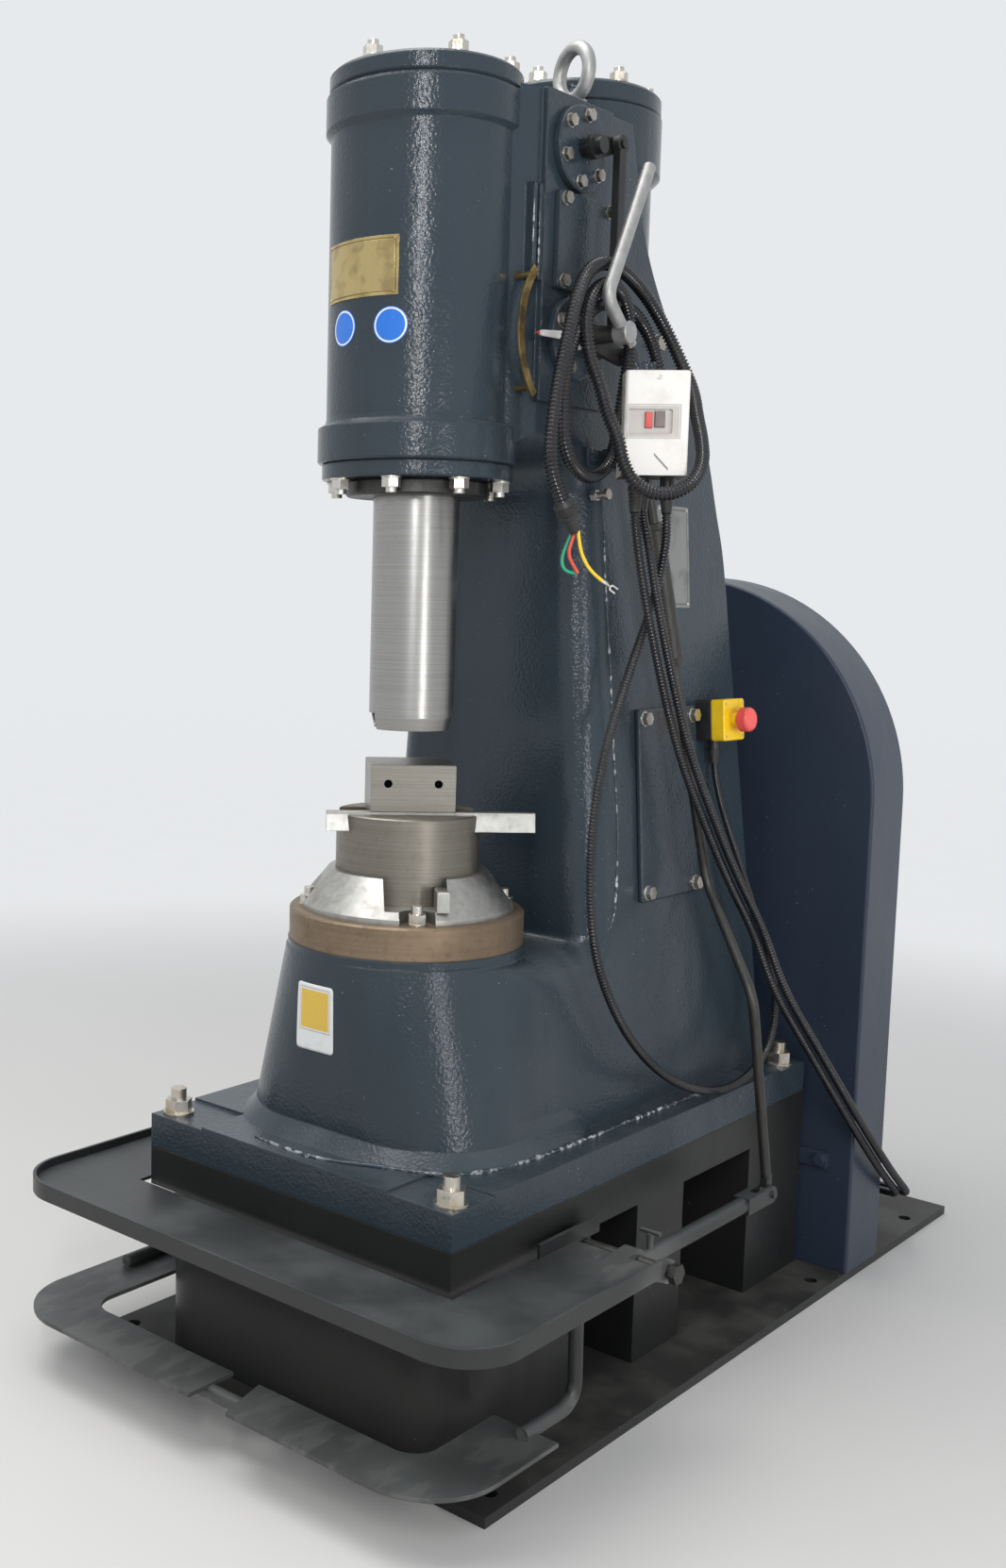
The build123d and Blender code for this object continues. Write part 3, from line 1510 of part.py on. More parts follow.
with BuildPart() as estop_button:
    with BuildSketch(flank(stop_y, stop_z, stop_face - 2)):
        Circle(stop_neck_r)
    extrude(amount=16)
    with BuildSketch(flank(stop_y, stop_z, stop_face + 13.5)):
        Circle(20)
    extrude(amount=20)
    fillet(
        estop_button.edges().filter_by(GeomType.CIRCLE).sort_by(Axis.X)[-1], 8
    )
save(estop_button, "estop_button")

# Motor starter, turned towards the operator, on its bracket
box_centre = Vector(262, 215, 1431)
box_w, box_d, box_h = 92.0, 84.0, 148.0
box_turn = radians(38.5)
box_across = Vector(cos(box_turn), sin(box_turn), 0)
box_normal = Vector(sin(box_turn), -cos(box_turn), 0)


def on_box(across, out, up):
    """Point on the starter, from its centre: across it, out of its face and up."""
    return box_centre + box_across * across + box_normal * out + Vector(0, 0, up)


def box_plane(across, out, up):
    """Plane parallel to the starter's face, its x across it and its y up."""
    return Plane(origin=on_box(across, out, up), x_dir=box_across, z_dir=box_normal)


window_w, window_h, window_sink = 64.0, 34.0, 3.0
button_gap = 0.3
button_places = {
    "starter_red_button": (-11.0, 4.0, 10.0, 22.0),
    "starter_black_button": (4.5, 5.0, 14.0, 22.0),
}
box_gland_places = ((-22.0, 9.0), (-8.0, -22.0), (25.0, -1.0))
with BuildPart() as starter_box:
    with BuildSketch(Plane(origin=on_box(0, 0, -box_h / 2), x_dir=box_across)):
        RectangleRounded(box_w, box_d, 6)
    extrude(amount=box_h)
    fillet(starter_box.edges().group_by(Axis.Z)[-1], 3)
    with BuildSketch(box_plane(-10, box_d / 2 - window_sink, 2)):
        RectangleRounded(window_w, window_h, 3)
    extrude(amount=10, mode=Mode.SUBTRACT)
    for across, up, wide, high in button_places.values():
        with BuildSketch(box_plane(across, box_d / 2 - 16, up)):
            Rectangle(wide + 2 * button_gap, high + 2 * button_gap)
        extrude(amount=16, mode=Mode.SUBTRACT)
    with BuildSketch(box_plane(0, box_d / 2 - 22, 0)):
        RectangleRounded(box_w + 4, box_h + 4, 6)
        RectangleRounded(box_w - 1.6, box_h - 1.6, 5, mode=Mode.SUBTRACT)
    extrude(amount=1.2, mode=Mode.SUBTRACT)
    for across, out in box_gland_places:
        with BuildSketch(
            Plane(origin=on_box(across, out, 2 - box_h / 2), z_dir=(0, 0, -1))
        ):
            Circle(gland_r + 1)
        extrude(amount=gland_l + 2)
save(starter_box, "starter_box")

for button_name, (across, up, wide, high) in button_places.items():
    with BuildPart() as starter_button:
        with BuildSketch(box_plane(across, box_d / 2 - 12, up)):
            Rectangle(wide, high)
        extrude(amount=12.5)
        outward = Axis(origin=(0, 0, 0), direction=tuple(box_normal))
        fillet(starter_button.faces().sort_by(outward)[-1].edges(), 1)
    save(starter_button, button_name)

with BuildPart() as starter_bracket:
    with BuildSketch(box_plane(-10, -box_d / 2, 13)):
        Rectangle(36, 168)
    extrude(amount=-4)
    with BuildSketch(Plane.XY.offset(1375)):
        with BuildLine():
            arm_near, arm_far = on_box(-10, -box_d / 2 - 3, 0), flank(242, 1390).origin
            Polyline(
                (arm_near.X, arm_near.Y), (arm_near.X - 3, arm_near.Y + 5),
                (arm_far.X + 2.5, arm_near.Y + 5), (arm_far.X + 2.5, arm_near.Y),
                (arm_near.X, arm_near.Y),
            )
        make_face()
    extrude(amount=30)
    with BuildSketch(flank(242, 1390)):
        Rectangle(84, 30)
    extrude(amount=5)
    with Locations(flank(242, 1390, 5)):
        with Locations((-30, 0), (30, 0)):
            add(hex_bolt(13, 6))
save(starter_bracket, "starter_bracket")


# Cords: straight runs joined by arcs as large as the runs allow
def swept_tube(name, radius, points):
    """Round tube along a cord's route; prints its length and smallest radius."""
    bends = []
    for before, corner, after in zip(points, points[1:], points[2:]):
        run_in, run_out = corner - before, after - corner
        half_turn = radians(run_in.get_angle(run_out)) / 2
        bends.append(0.45 * min(run_in.length, run_out.length) / tan(half_turn))
    with BuildPart() as tube:
        with BuildLine():
            path = FilletPolyline(*points, radius=bends)
        with BuildSketch(Plane(origin=path @ 0, z_dir=path % 0)):
            Circle(radius)
        sweep()
    share = tube.part.volume / (pi * radius**2 * path.length)
    print(
        name, "length", round(path.length), "smallest radius", round(min(bends)),
        "volume share", round(share, 3),
    )
    return tube


conduit_r = 7.0
supply_r = 10.0
pair_step = Vector(13, 9, 4)
straight_exit = Vector(0, 0, -30)
gland_ends = [
    on_box(across, out, -box_h / 2 - gland_l) for across, out in box_gland_places
]
motor_route = [
    Vector(250, 205, 1264), Vector(254, 222, 1195), Vector(262, 246, 1110),
    Vector(268, 282, 1015), Vector(273, 324, 930), Vector(283, 379, 840),
    Vector(295, 438, 746), Vector(310, 513, 646), Vector(335, 538, 553),
    Vector(365, 606, 451), Vector(397, 674, 346), Vector(405, 770, 250),
    Vector(404, 872, 165),
]
motor_turn_a = [
    Vector(392, 965, 108), Vector(335, 1028, 84), Vector(258, 1040, 78),
    Vector(190, 1030, 96), Vector(148, 1019, 135),
]
motor_turn_b = [
    Vector(405, 980, 108), Vector(345, 1054, 84), Vector(262, 1070, 78),
    Vector(192, 1064, 96), Vector(150, 1057, 135),
]
motor_ends = [
    Vector(motor_gland_x, y, motor_axis_z - gland_l) for y in motor_gland_y
]
motor_conduit_a = swept_tube(
    "motor_conduit_a", conduit_r,
    [
        gland_ends[0], gland_ends[0] + straight_exit, *motor_route,
        *motor_turn_a, motor_ends[0] + straight_exit, motor_ends[0],
    ],
)
save(motor_conduit_a, "motor_conduit_a")
motor_conduit_b = swept_tube(
    "motor_conduit_b", conduit_r,
    [
        gland_ends[1], gland_ends[1] + straight_exit,
        *(point + pair_step for point in motor_route),
        *motor_turn_b, motor_ends[1] + straight_exit, motor_ends[1],
    ],
)
save(motor_conduit_b, "motor_conduit_b")
estop_cable = swept_tube(
    "estop_cable", conduit_r,
    [
        gland_ends[2], gland_ends[2] + straight_exit, Vector(275, 246, 1272),
        Vector(262, 257, 1228),
        Vector(247, 264, 1182), Vector(237, 255, 1135), Vector(236, 232, 1094),
        Vector(239, 204, 1052), Vector(243, 168, 1000), Vector(245, 138, 935),
        Vector(247, 118, 850), Vector(251, 112, 760), Vector(258, 118, 670),
        Vector(266, 152, 590), Vector(275, 215, 508), Vector(289, 300, 441),
        Vector(299, 410, 399), Vector(304, 520, 398), Vector(301, 610, 440),
        Vector(292, 641, 515), Vector(281, 618, 605), Vector(266, 580, 690),
        Vector(249, 553, 770), Vector(229, 543, 830), Vector(214, 544, 876),
        stop_gland_top - flank_up * (stop_gland_l + 28),
        stop_gland_top - flank_up * stop_gland_l,
    ],
)
save(estop_cable, "estop_cable")

hank_x, hank_t, hank_half = lever_x - 37, 24.0, 15.0
hank_top_z = lower_valve_z + spindle_r + fit_gap + hank_half
with BuildPart() as supply_hank:
    with BuildSketch(yz_plane(hank_x)) as hank_outline:
        with BuildLine():
            Polyline(
                (112, hank_top_z), (180, hank_top_z), (178, 1540), (149, 1496),
                (140, 1404), (112, 1358), (82, 1400), (66, 1470), (68, 1550),
                (112, hank_top_z),
            )
        make_face()
        fillet(hank_outline.vertices(), 26)
        hank_core = offset(amount=-hank_half, mode=Mode.PRIVATE)
        offset(amount=hank_half)
        add(hank_core, mode=Mode.SUBTRACT)
    extrude(amount=hank_t)
    fillet(supply_hank.faces().filter_by(Axis.X).edges(), 9)
save(supply_hank, "supply_hank")

supply_loop = swept_tube(
    "supply_loop", supply_r,
    [
        Vector(225, 118, 1578), Vector(227, 109, 1545), Vector(238, 106, 1506),
        Vector(256, 108, 1464), Vector(276, 129, 1414), Vector(299, 154, 1368),
        Vector(324, 178, 1339), Vector(348, 201, 1344), Vector(352, 231, 1388),
        Vector(324, 264, 1434), Vector(286, 290, 1478), Vector(256, 289, 1520),
        Vector(239, 254, 1550), Vector(229, 206, 1573), Vector(225, 172, 1578),
    ],
)
save(supply_loop, "supply_loop")
tail_end = Vector(232, 36, 1313)
supply_tail = swept_tube(
    "supply_tail", supply_r + 1,
    [
        Vector(229, 76, 1562), Vector(230, 52, 1524), Vector(230, 26, 1482),
        Vector(230, 9, 1430), Vector(229, 5, 1380), Vector(229, 17, 1340),
        tail_end,
    ],
)
save(supply_tail, "supply_tail")
tail_dir = (tail_end - Vector(229, 17, 1340)).normalized()
with BuildPart() as supply_fitting:
    for start, long, radius in ((0, 16, 16), (16, 22, 14), (38, 10, 10)):
        with BuildSketch(Plane(origin=tail_end + tail_dir * start, z_dir=tail_dir)):
            Circle(radius)
        extrude(amount=long)
save(supply_fitting, "supply_fitting")

# Bare ends of the supply wires, drawn in the plane that faces the operator
wire_r = 2.5
wire_root = tail_end + tail_dir * 48
wire_across = Vector(0.737, 0.676, 0)
wire_ends = {
    "green": ((-3, 2), (-10, -16), (-17, -35), (-16, -50), (-5, -58), (6, -58)),
    "red": ((0, 2), (-4, -12), (-9, -28), (-5, -42), (6, -58)),
    "yellow": ((3, 2), (5, -16), (11, -37), (25, -58), (42, -70)),
}
with BuildPart() as supply_wires:
    for step, (colour, bends) in enumerate(wire_ends.items()):
        layer = Vector(-0.676, 0.737, 0) * ((1 - step) * 5.2)
        wire = swept_tube(
            f"{colour} wire", wire_r,
            [
                wire_root + layer + wire_across * across + Vector(0, 0, up)
                for across, up in bends
            ],
        )
        add(wire.part)
save(supply_wires, "supply_wires")
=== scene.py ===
"""Power hammer: finishes, cords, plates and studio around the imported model, in its own frame.

Every length is in metres unless a name ends in _mm. +Z is up, -Y is the operator's side and +X is
the flank with the lever, the starter and the treadle arm.
"""

from __future__ import annotations

import logging
from dataclasses import dataclass
from enum import Enum
from functools import reduce
from math import cos, pi, radians, sin
from operator import add
from typing import Any, Sequence

import bpy
import numpy as np
from mathutils import Matrix, Vector


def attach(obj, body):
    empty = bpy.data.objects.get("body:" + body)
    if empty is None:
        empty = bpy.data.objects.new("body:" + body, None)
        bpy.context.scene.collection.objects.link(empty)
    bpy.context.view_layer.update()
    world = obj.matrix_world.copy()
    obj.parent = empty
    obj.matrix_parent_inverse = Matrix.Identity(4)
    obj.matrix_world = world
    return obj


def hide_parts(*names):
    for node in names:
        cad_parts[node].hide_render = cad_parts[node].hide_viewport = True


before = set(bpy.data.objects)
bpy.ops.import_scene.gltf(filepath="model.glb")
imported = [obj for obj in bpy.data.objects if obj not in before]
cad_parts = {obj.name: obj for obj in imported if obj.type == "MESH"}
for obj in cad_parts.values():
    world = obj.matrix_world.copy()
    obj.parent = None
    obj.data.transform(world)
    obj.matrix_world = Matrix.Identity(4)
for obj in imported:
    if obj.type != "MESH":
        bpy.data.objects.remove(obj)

LOG = logging.getLogger("power_hammer")
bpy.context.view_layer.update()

Array = np.ndarray
Colour = tuple[float, float, float]
Spot = tuple[float, float, float]

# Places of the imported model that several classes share: the flank's x and z at its foot, how far it
# leans in per unit of height, its outward direction, and the starter box's middle and directions
FLANK_FOOT_MM = (228.0, 384.0)
FLANK_LEAN = 0.0681
FLANK_OUT = (0.99769, 0.0, 0.06794)
STARTER_MIDDLE_MM = (262.0, 215.0, 1431.0)
STARTER_ACROSS = (0.7826, 0.6225, 0.0)
STARTER_OUT = (0.6225, -0.7826, 0.0)

# How many directions a path's cross vectors are chosen from
DIRECTION_TRIES = 240


# Shader expressions


class Term:
    """One socket of a node tree, with Python's own arithmetic on it."""

    def __init__(self, sheet: FinishSheet, socket: Any) -> None:
        """Keeps the sheet that the socket lies on."""
        self.sheet = sheet
        self.socket = socket

    def _math(self, operation: str, first: Term | float, second: Term | float) -> Term:
        """Adds one Math node on two values."""
        return self.sheet.node("ShaderNodeMath", {"operation": operation}, {0: first, 1: second})

    def __add__(self, other: Term | float) -> Term:
        """Sum."""
        return self._math("ADD", self, other)

    __radd__ = __add__

    def __sub__(self, other: Term | float) -> Term:
        """Difference."""
        return self._math("SUBTRACT", self, other)

    def __rsub__(self, other: float) -> Term:
        """A number less this value."""
        return self._math("SUBTRACT", other, self)

    def __mul__(self, other: Term | float) -> Term:
        """Product."""
        return self._math("MULTIPLY", self, other)

    __rmul__ = __mul__

    def __abs__(self) -> Term:
        """Size without the sign."""
        return self._math("ABSOLUTE", self, 0.0)

    def at_least(self, floor: Term | float) -> Term:
        """The larger of the two."""
        return self._math("MAXIMUM", self, floor)

    def at_most(self, ceiling: Term | float) -> Term:
        """The smaller of the two."""
        return self._math("MINIMUM", self, ceiling)

    def rise(self, low: float, high: float) -> Term:
        """Smooth step from 0 at low to 1 at high; with low above high it falls instead."""
        return self.sheet.node(
            "ShaderNodeMapRange", {"interpolation_type": "SMOOTHSTEP"}, {0: self, 1: low, 2: high}
        )


class FinishSheet:
    """The node tree of one material or of the world, written as expressions."""

    def __init__(self, tree: bpy.types.NodeTree) -> None:
        """Empties the tree and starts on it."""
        self.tree = tree
        tree.nodes.clear()

    def node(
        self,
        kind: str,
        settings: dict[str, Any] | None = None,
        sockets: dict[Any, Any] | None = None,
        output: int = 0,
    ) -> Term:
        """Adds any node.

        Args:
            kind: the node's type.
            settings: its own settings, set first.
            sockets: values or Terms of its inputs, by name or number.
            output: number of the output that is returned.

        Returns:
            The output as a Term.
        """
        made = self.tree.nodes.new(kind)
        for key, value in (settings or {}).items():
            setattr(made, key, value)
        for key, value in (sockets or {}).items():
            if isinstance(value, Term):
                self.tree.links.new(value.socket, made.inputs[key])
            elif made.inputs[key].type == "RGBA":
                made.inputs[key].default_value = (*value, 1.0)
            else:
                made.inputs[key].default_value = value
        return Term(self, made.outputs[output] if len(made.outputs) else None)

    def place(self, output: int = 3) -> Term:
        """Object coordinates, or the UV map with output 2."""
        return self.node("ShaderNodeTexCoord", output=output)

    def split(self, vector: Term) -> list[Term]:
        """The three numbers of a vector."""
        made = self.node("ShaderNodeSeparateXYZ", {}, {0: vector}).socket.node
        return [Term(self, socket) for socket in made.outputs]

    def noise(self, scale: float, detail: float = 2.0, stretch: Spot = (1.0, 1.0, 1.0)) -> Term:
        """Noise from 0 to 1 in object coordinates, finer along an axis with a larger stretch."""
        where = self.node("ShaderNodeMapping", {}, {"Vector": self.place(), "Scale": stretch})
        return self.node("ShaderNodeTexNoise", {}, {"Vector": where, "Scale": scale, "Detail": detail})

    def mix(
        self, share: Term | float, first: Term | Colour, second: Term | Colour, blend: str = "MIX"
    ) -> Term:
        """Colour between two others."""
        return self.node(
            "ShaderNodeMix", {"data_type": "RGBA", "blend_type": blend}, {0: share, 6: first, 7: second}, 2
        )

    def upward(self, low: float = 0.35, high: float = 0.9) -> Term:
        """1 where the surface faces up, 0 on walls."""
        return self.split(self.node("ShaderNodeNewGeometry", output=1))[2].rise(low, high)

    def soft_edge(self, radius: float) -> Term:
        """Surface direction with the solid's edges rounded by this radius."""
        return self.node("ShaderNodeBevel", {"samples": 4}, {"Radius": radius})

    def bump(self, height: Term, over: Term | None = None) -> Term:
        """Surface direction with a height in metres laid on it."""
        under = {} if over is None else {"Normal": over}
        return self.node("ShaderNodeBump", {}, {"Strength": 1.0, "Distance": 1.0, "Height": height, **under})

    def paint(self, varied: dict[str, Any], steady: dict[str, Any] | None = None) -> None:
        """Ends the tree in the shader, with what varies and what is the same all over."""
        shader = self.node("ShaderNodeBsdfPrincipled", {}, {**varied, **(steady or {})})
        self.node("ShaderNodeOutputMaterial", {}, {"Surface": shader})


class Grain(Enum):
    """How a bare metal's fine lines run, as a stretch of the noise along X, Y and Z."""

    TURNED = (3.0, 3.0, 520.0)
    UPRIGHT = (260.0, 260.0, 4.0)
    ALONG_X = (4.0, 220.0, 220.0)
    ACROSS = (5.0, 5.0, 420.0)
    CAST = (70.0, 70.0, 70.0)


# Finishes


@dataclass(frozen=True)
class Finish:
    """One finish, made into a Blender material once."""

    name: str

    def lay(self, sheet: FinishSheet) -> None:
        """Writes the finish on the node tree of its material."""
        raise NotImplementedError

    def material(self) -> bpy.types.Material:
        """Makes the material of this finish on its first use.

        Returns:
            The material.
        """
        made = bpy.data.materials.get(self.name)
        if made is None:
            made = bpy.data.materials.new(self.name)
            made.use_nodes = True
            self.lay(FinishSheet(made.node_tree))
        return made

    def dress(self, *nodes: str) -> None:
        """Gives this finish to carried-over CAD nodes.

        Args:
            nodes: the nodes' names.
        """
        for node in nodes:
            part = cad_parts[node]
            if not part.material_slots:
                part.data.materials.append(self.material())
            for place in part.material_slots:
                place.material = self.material()


@dataclass(frozen=True)
class CastPaint(Finish):
    """Enamel brushed and sprayed over a rough casting: orange peel, slow waves and settled dust."""

    colour: Colour = (0.023, 0.035, 0.046)
    second: Colour = (0.031, 0.043, 0.054)
    dust_colour: Colour = (0.13, 0.15, 0.16)
    dust: float = 0.32
    peel: float = 0.00080
    peel_scale: float = 210.0
    wave: float = 0.0011
    gloss: float = 0.17
    edge: float = 0.004
    grime: float = 0.35

    def lay(self, sheet: FinishSheet) -> None:
        """Two paint tones by slow noise, dust where the surface faces up, peel and waves as height.

        Args:
            sheet: the material's node tree.
        """
        tone = sheet.mix(sheet.noise(2.6, 4).rise(0.32, 0.68), self.colour, self.second)
        blotch = sheet.noise(11.0, 5).rise(0.38, 0.72)
        dust = sheet.upward() * (blotch * 0.7 + 0.3) * self.dust
        runs = sheet.noise(9.0, 4, (1.0, 1.0, 0.12)).rise(0.5, 0.8) * self.grime
        shaded = sheet.mix(runs, tone, sheet.mix(1.0, tone, (0.62, 0.62, 0.62), "MULTIPLY"))
        specks = sheet.noise(240.0, 1).rise(0.74, 0.80) * sheet.noise(14.0, 2).rise(0.5, 0.62)
        colour = sheet.mix(dust, shaded, self.dust_colour)
        colour = sheet.mix(specks * 0.55, colour, (0.34, 0.35, 0.35))
        height = sheet.noise(self.peel_scale, 2) * self.peel + sheet.noise(15.0, 2) * self.wave
        sheet.paint(
            {
                "Base Color": colour,
                "Roughness": dust * 0.5 + runs * 0.10 + self.gloss,
                "Normal": sheet.bump(height, sheet.soft_edge(self.edge)),
            },
            {"Specular IOR Level": 0.34},
        )


@dataclass(frozen=True)
class BareMetal(Finish):
    """Bare or plated metal with fine lines, stains and a little dust."""

    colour: Colour = (0.42, 0.42, 0.42)
    stain: Colour = (0.16, 0.13, 0.10)
    stained: float = 0.35
    grain: Grain = Grain.CAST
    depth: float = 0.00006
    rough: float = 0.26
    metal: float = 1.0
    edge: float = 0.0012
    dust: float = 0.15
    patch: float = 9.0

    def lay(self, sheet: FinishSheet) -> None:
        """Lines from a stretched noise change tone, roughness and height; stains follow a blotchy noise.

        Args:
            sheet: the material's node tree.
        """
        lines = sheet.noise(1.0, 3, self.grain.value)
        blotch = sheet.noise(self.patch, 6).rise(0.66 - 0.3 * self.stained, 0.78)
        fine = sheet.noise(self.patch * 9, 3).rise(0.5, 0.75)
        stain = (blotch * 0.8 + fine * 0.35).at_most(1.0) * (0.35 + 0.65 * self.stained)
        dull = sheet.mix(1.0, (0.80, 0.80, 0.80), self.colour, "MULTIPLY")
        bright = sheet.mix(lines.rise(0.25, 0.75), dull, self.colour)
        dust = sheet.upward(0.6, 0.95) * sheet.noise(16.0, 4).rise(0.35, 0.7) * self.dust
        colour = sheet.mix(dust, sheet.mix(stain, bright, self.stain), (0.30, 0.28, 0.25))
        sheet.paint(
            {
                # a finish with holes paints their shade into the colour here
                "Base Color": self.paint_hole_shade(sheet, colour),
                "Metallic": (1.0 - stain * 0.45 - dust * 0.7) * self.metal,
                "Roughness": lines * 0.12 + stain * 0.26 + dust * 0.4 + self.rough,
                "Normal": sheet.bump(lines * self.depth, sheet.soft_edge(self.edge)),
            },
        )

    def paint_hole_shade(self, sheet: FinishSheet, colour: Term) -> Term:
        """The colour as it is; a finish with holes paints their shade here."""
        return colour


@dataclass(frozen=True)
class DieSteel(BareMetal):
    """Ground die steel whose two tong holes are painted black inside as shade."""

    half_pitch: float = 0.037
    hole_r: float = 0.006
    hole_z: float = 0.907
    face: float = 0.0585

    def paint_hole_shade(self, sheet: FinishSheet, colour: Term) -> Term:
        """Painted shade: black within the holes' radius, behind the face that is turned 45 degrees about Z.

        Args:
            sheet: the material's node tree.
            colour: the steel's colour.

        Returns:
            The colour with the holes' painted shade in it.
        """
        x, y, z = sheet.split(sheet.place())
        along = abs((x + y) * cos(pi / 4)) - self.half_pitch
        reach = along * along + (z - self.hole_z) * (z - self.hole_z)
        # painted shade: the inside of each tong hole is coloured black
        hole_shade = reach.rise((self.hole_r * 1.07) ** 2, (self.hole_r * 1.02) ** 2)
        depth = ((x - y) * cos(pi / 4)).rise(self.face - 0.0001, self.face - 0.0006)
        return sheet.mix(hole_shade * depth, colour, (0.006, 0.006, 0.006))


@dataclass(frozen=True)
class ZincPlate(Finish):
    """Bright zinc on nuts and bolts, grimy in places."""

    colour: Colour = (0.62, 0.61, 0.58)
    warm: Colour = (0.55, 0.49, 0.40)

    def lay(self, sheet: FinishSheet) -> None:
        """Cool and warm passivation by one noise, grime by a finer one.

        Args:
            sheet: the material's node tree.
        """
        plated = sheet.mix(sheet.noise(36.0, 3).rise(0.35, 0.7), self.colour, self.warm)
        grime = sheet.noise(90.0, 4).rise(0.56, 0.74) * 0.5
        sheet.paint(
            {
                "Base Color": sheet.mix(grime, plated, (0.12, 0.11, 0.10)),
                "Metallic": 1.0 - grime * 0.7,
                "Roughness": sheet.noise(120.0, 2) * 0.16 + grime * 0.2 + 0.22,
                "Normal": sheet.bump(sheet.noise(260.0, 2) * 0.00012, sheet.soft_edge(0.0009)),
            },
        )


@dataclass(frozen=True)
class AgedBrass(Finish):
    """Brass gone brown in places; above gilt_from it stays bright and below it is dark."""

    gilt_from: float = -9.0
    gilt_to: float = -8.0
    gold: Colour = (0.62, 0.44, 0.17)
    brown: Colour = (0.115, 0.080, 0.036)

    def lay(self, sheet: FinishSheet) -> None:
        """Tarnish is a blotchy noise pushed up or down by the height.

        Args:
            sheet: the material's node tree.
        """
        height = sheet.split(sheet.place())[2].rise(self.gilt_from, self.gilt_to)
        blotch = sheet.noise(24.0, 6).rise(0.42, 0.66)
        streak = sheet.noise(30.0, 4, (1.0, 1.0, 0.2)).rise(0.5, 0.75)
        tarnish = (blotch * 0.55 + streak * 0.35 + (1.0 - height) * 0.55).at_most(1.0)
        sheet.paint(
            {
                "Base Color": sheet.mix(tarnish, self.gold, self.brown),
                "Metallic": 1.0 - tarnish * 0.25,
                "Roughness": tarnish * 0.18 + 0.20,
                "Normal": sheet.bump(sheet.noise(160.0, 2) * 0.00008, sheet.soft_edge(0.0008)),
            },
        )


@dataclass(frozen=True)
class PlateFace(Finish):
    """A bare plate with one engraved border line.

    The line lies `inset` inside an edge whose middle and half size are given along Z and along a
    second direction: Y, or the arc round the ram axis where `arc` is its radius.
    """

    centre: tuple[float, float] = (0.0, 0.0)
    half: tuple[float, float] = (0.05, 0.05)
    arc: float = 0.0
    inset: float = 0.005
    colour: Colour = (0.55, 0.43, 0.20)
    line: Colour = (0.10, 0.07, 0.03)
    rub: Colour = (0.20, 0.14, 0.06)
    metal: float = 1.0
    rough: float = 0.24

    def lay(self, sheet: FinishSheet) -> None:
        """Distance inside the nearest edge gives the border; rubbed patches follow two noises.

        Args:
            sheet: the material's node tree.
        """
        x, y, z = sheet.split(sheet.place())
        along = y
        if self.arc:
            along = sheet.node("ShaderNodeMath", {"operation": "ARCTAN2"}, {0: y, 1: x}) * self.arc
        side = self.half[0] - abs(along - self.centre[0])
        inside = side.at_most(self.half[1] - abs(z - self.centre[1]))
        border = abs(inside - self.inset).rise(0.0011, 0.0005)
        streak = sheet.noise(60.0, 3, (1.0, 1.0, 0.25)).rise(0.55, 0.8)
        patch = sheet.noise(30.0, 6).rise(0.46, 0.66) * 0.6 + streak * 0.3
        height = border * -0.0002 + sheet.noise(22.0, 2) * 0.0006
        colour = sheet.mix(border * 0.85, sheet.mix(patch, self.colour, self.rub), self.line)
        sheet.paint(
            {
                "Base Color": colour,
                "Metallic": (1.0 - patch * 0.35) * self.metal,
                "Roughness": patch * 0.2 + border * 0.2 + self.rough,
                "Normal": sheet.bump(height, sheet.soft_edge(0.0006)),
            },
        )


@dataclass(frozen=True)
class Moulded(Finish):
    """Moulded plastic with a fine grain and handling marks."""

    colour: Colour = (0.70, 0.10, 0.07)
    second: Colour = (0.58, 0.07, 0.05)
    rough: float = 0.34
    dust: float = 0.2

    def lay(self, sheet: FinishSheet) -> None:
        """Two close tones, a spark-eroded grain and dust on top.

        Args:
            sheet: the material's node tree.
        """
        tone = sheet.mix(sheet.noise(40.0, 4).rise(0.35, 0.7), self.colour, self.second)
        dust = sheet.upward(0.5, 0.95) * sheet.noise(30.0, 4).rise(0.3, 0.7) * self.dust
        sheet.paint(
            {
                "Base Color": sheet.mix(dust, tone, (0.40, 0.38, 0.35)),
                "Roughness": sheet.noise(70.0, 3) * 0.14 + dust * 0.3 + self.rough,
                "Normal": sheet.bump(sheet.noise(900.0, 1) * 0.00004, sheet.soft_edge(0.0008)),
            },
        )


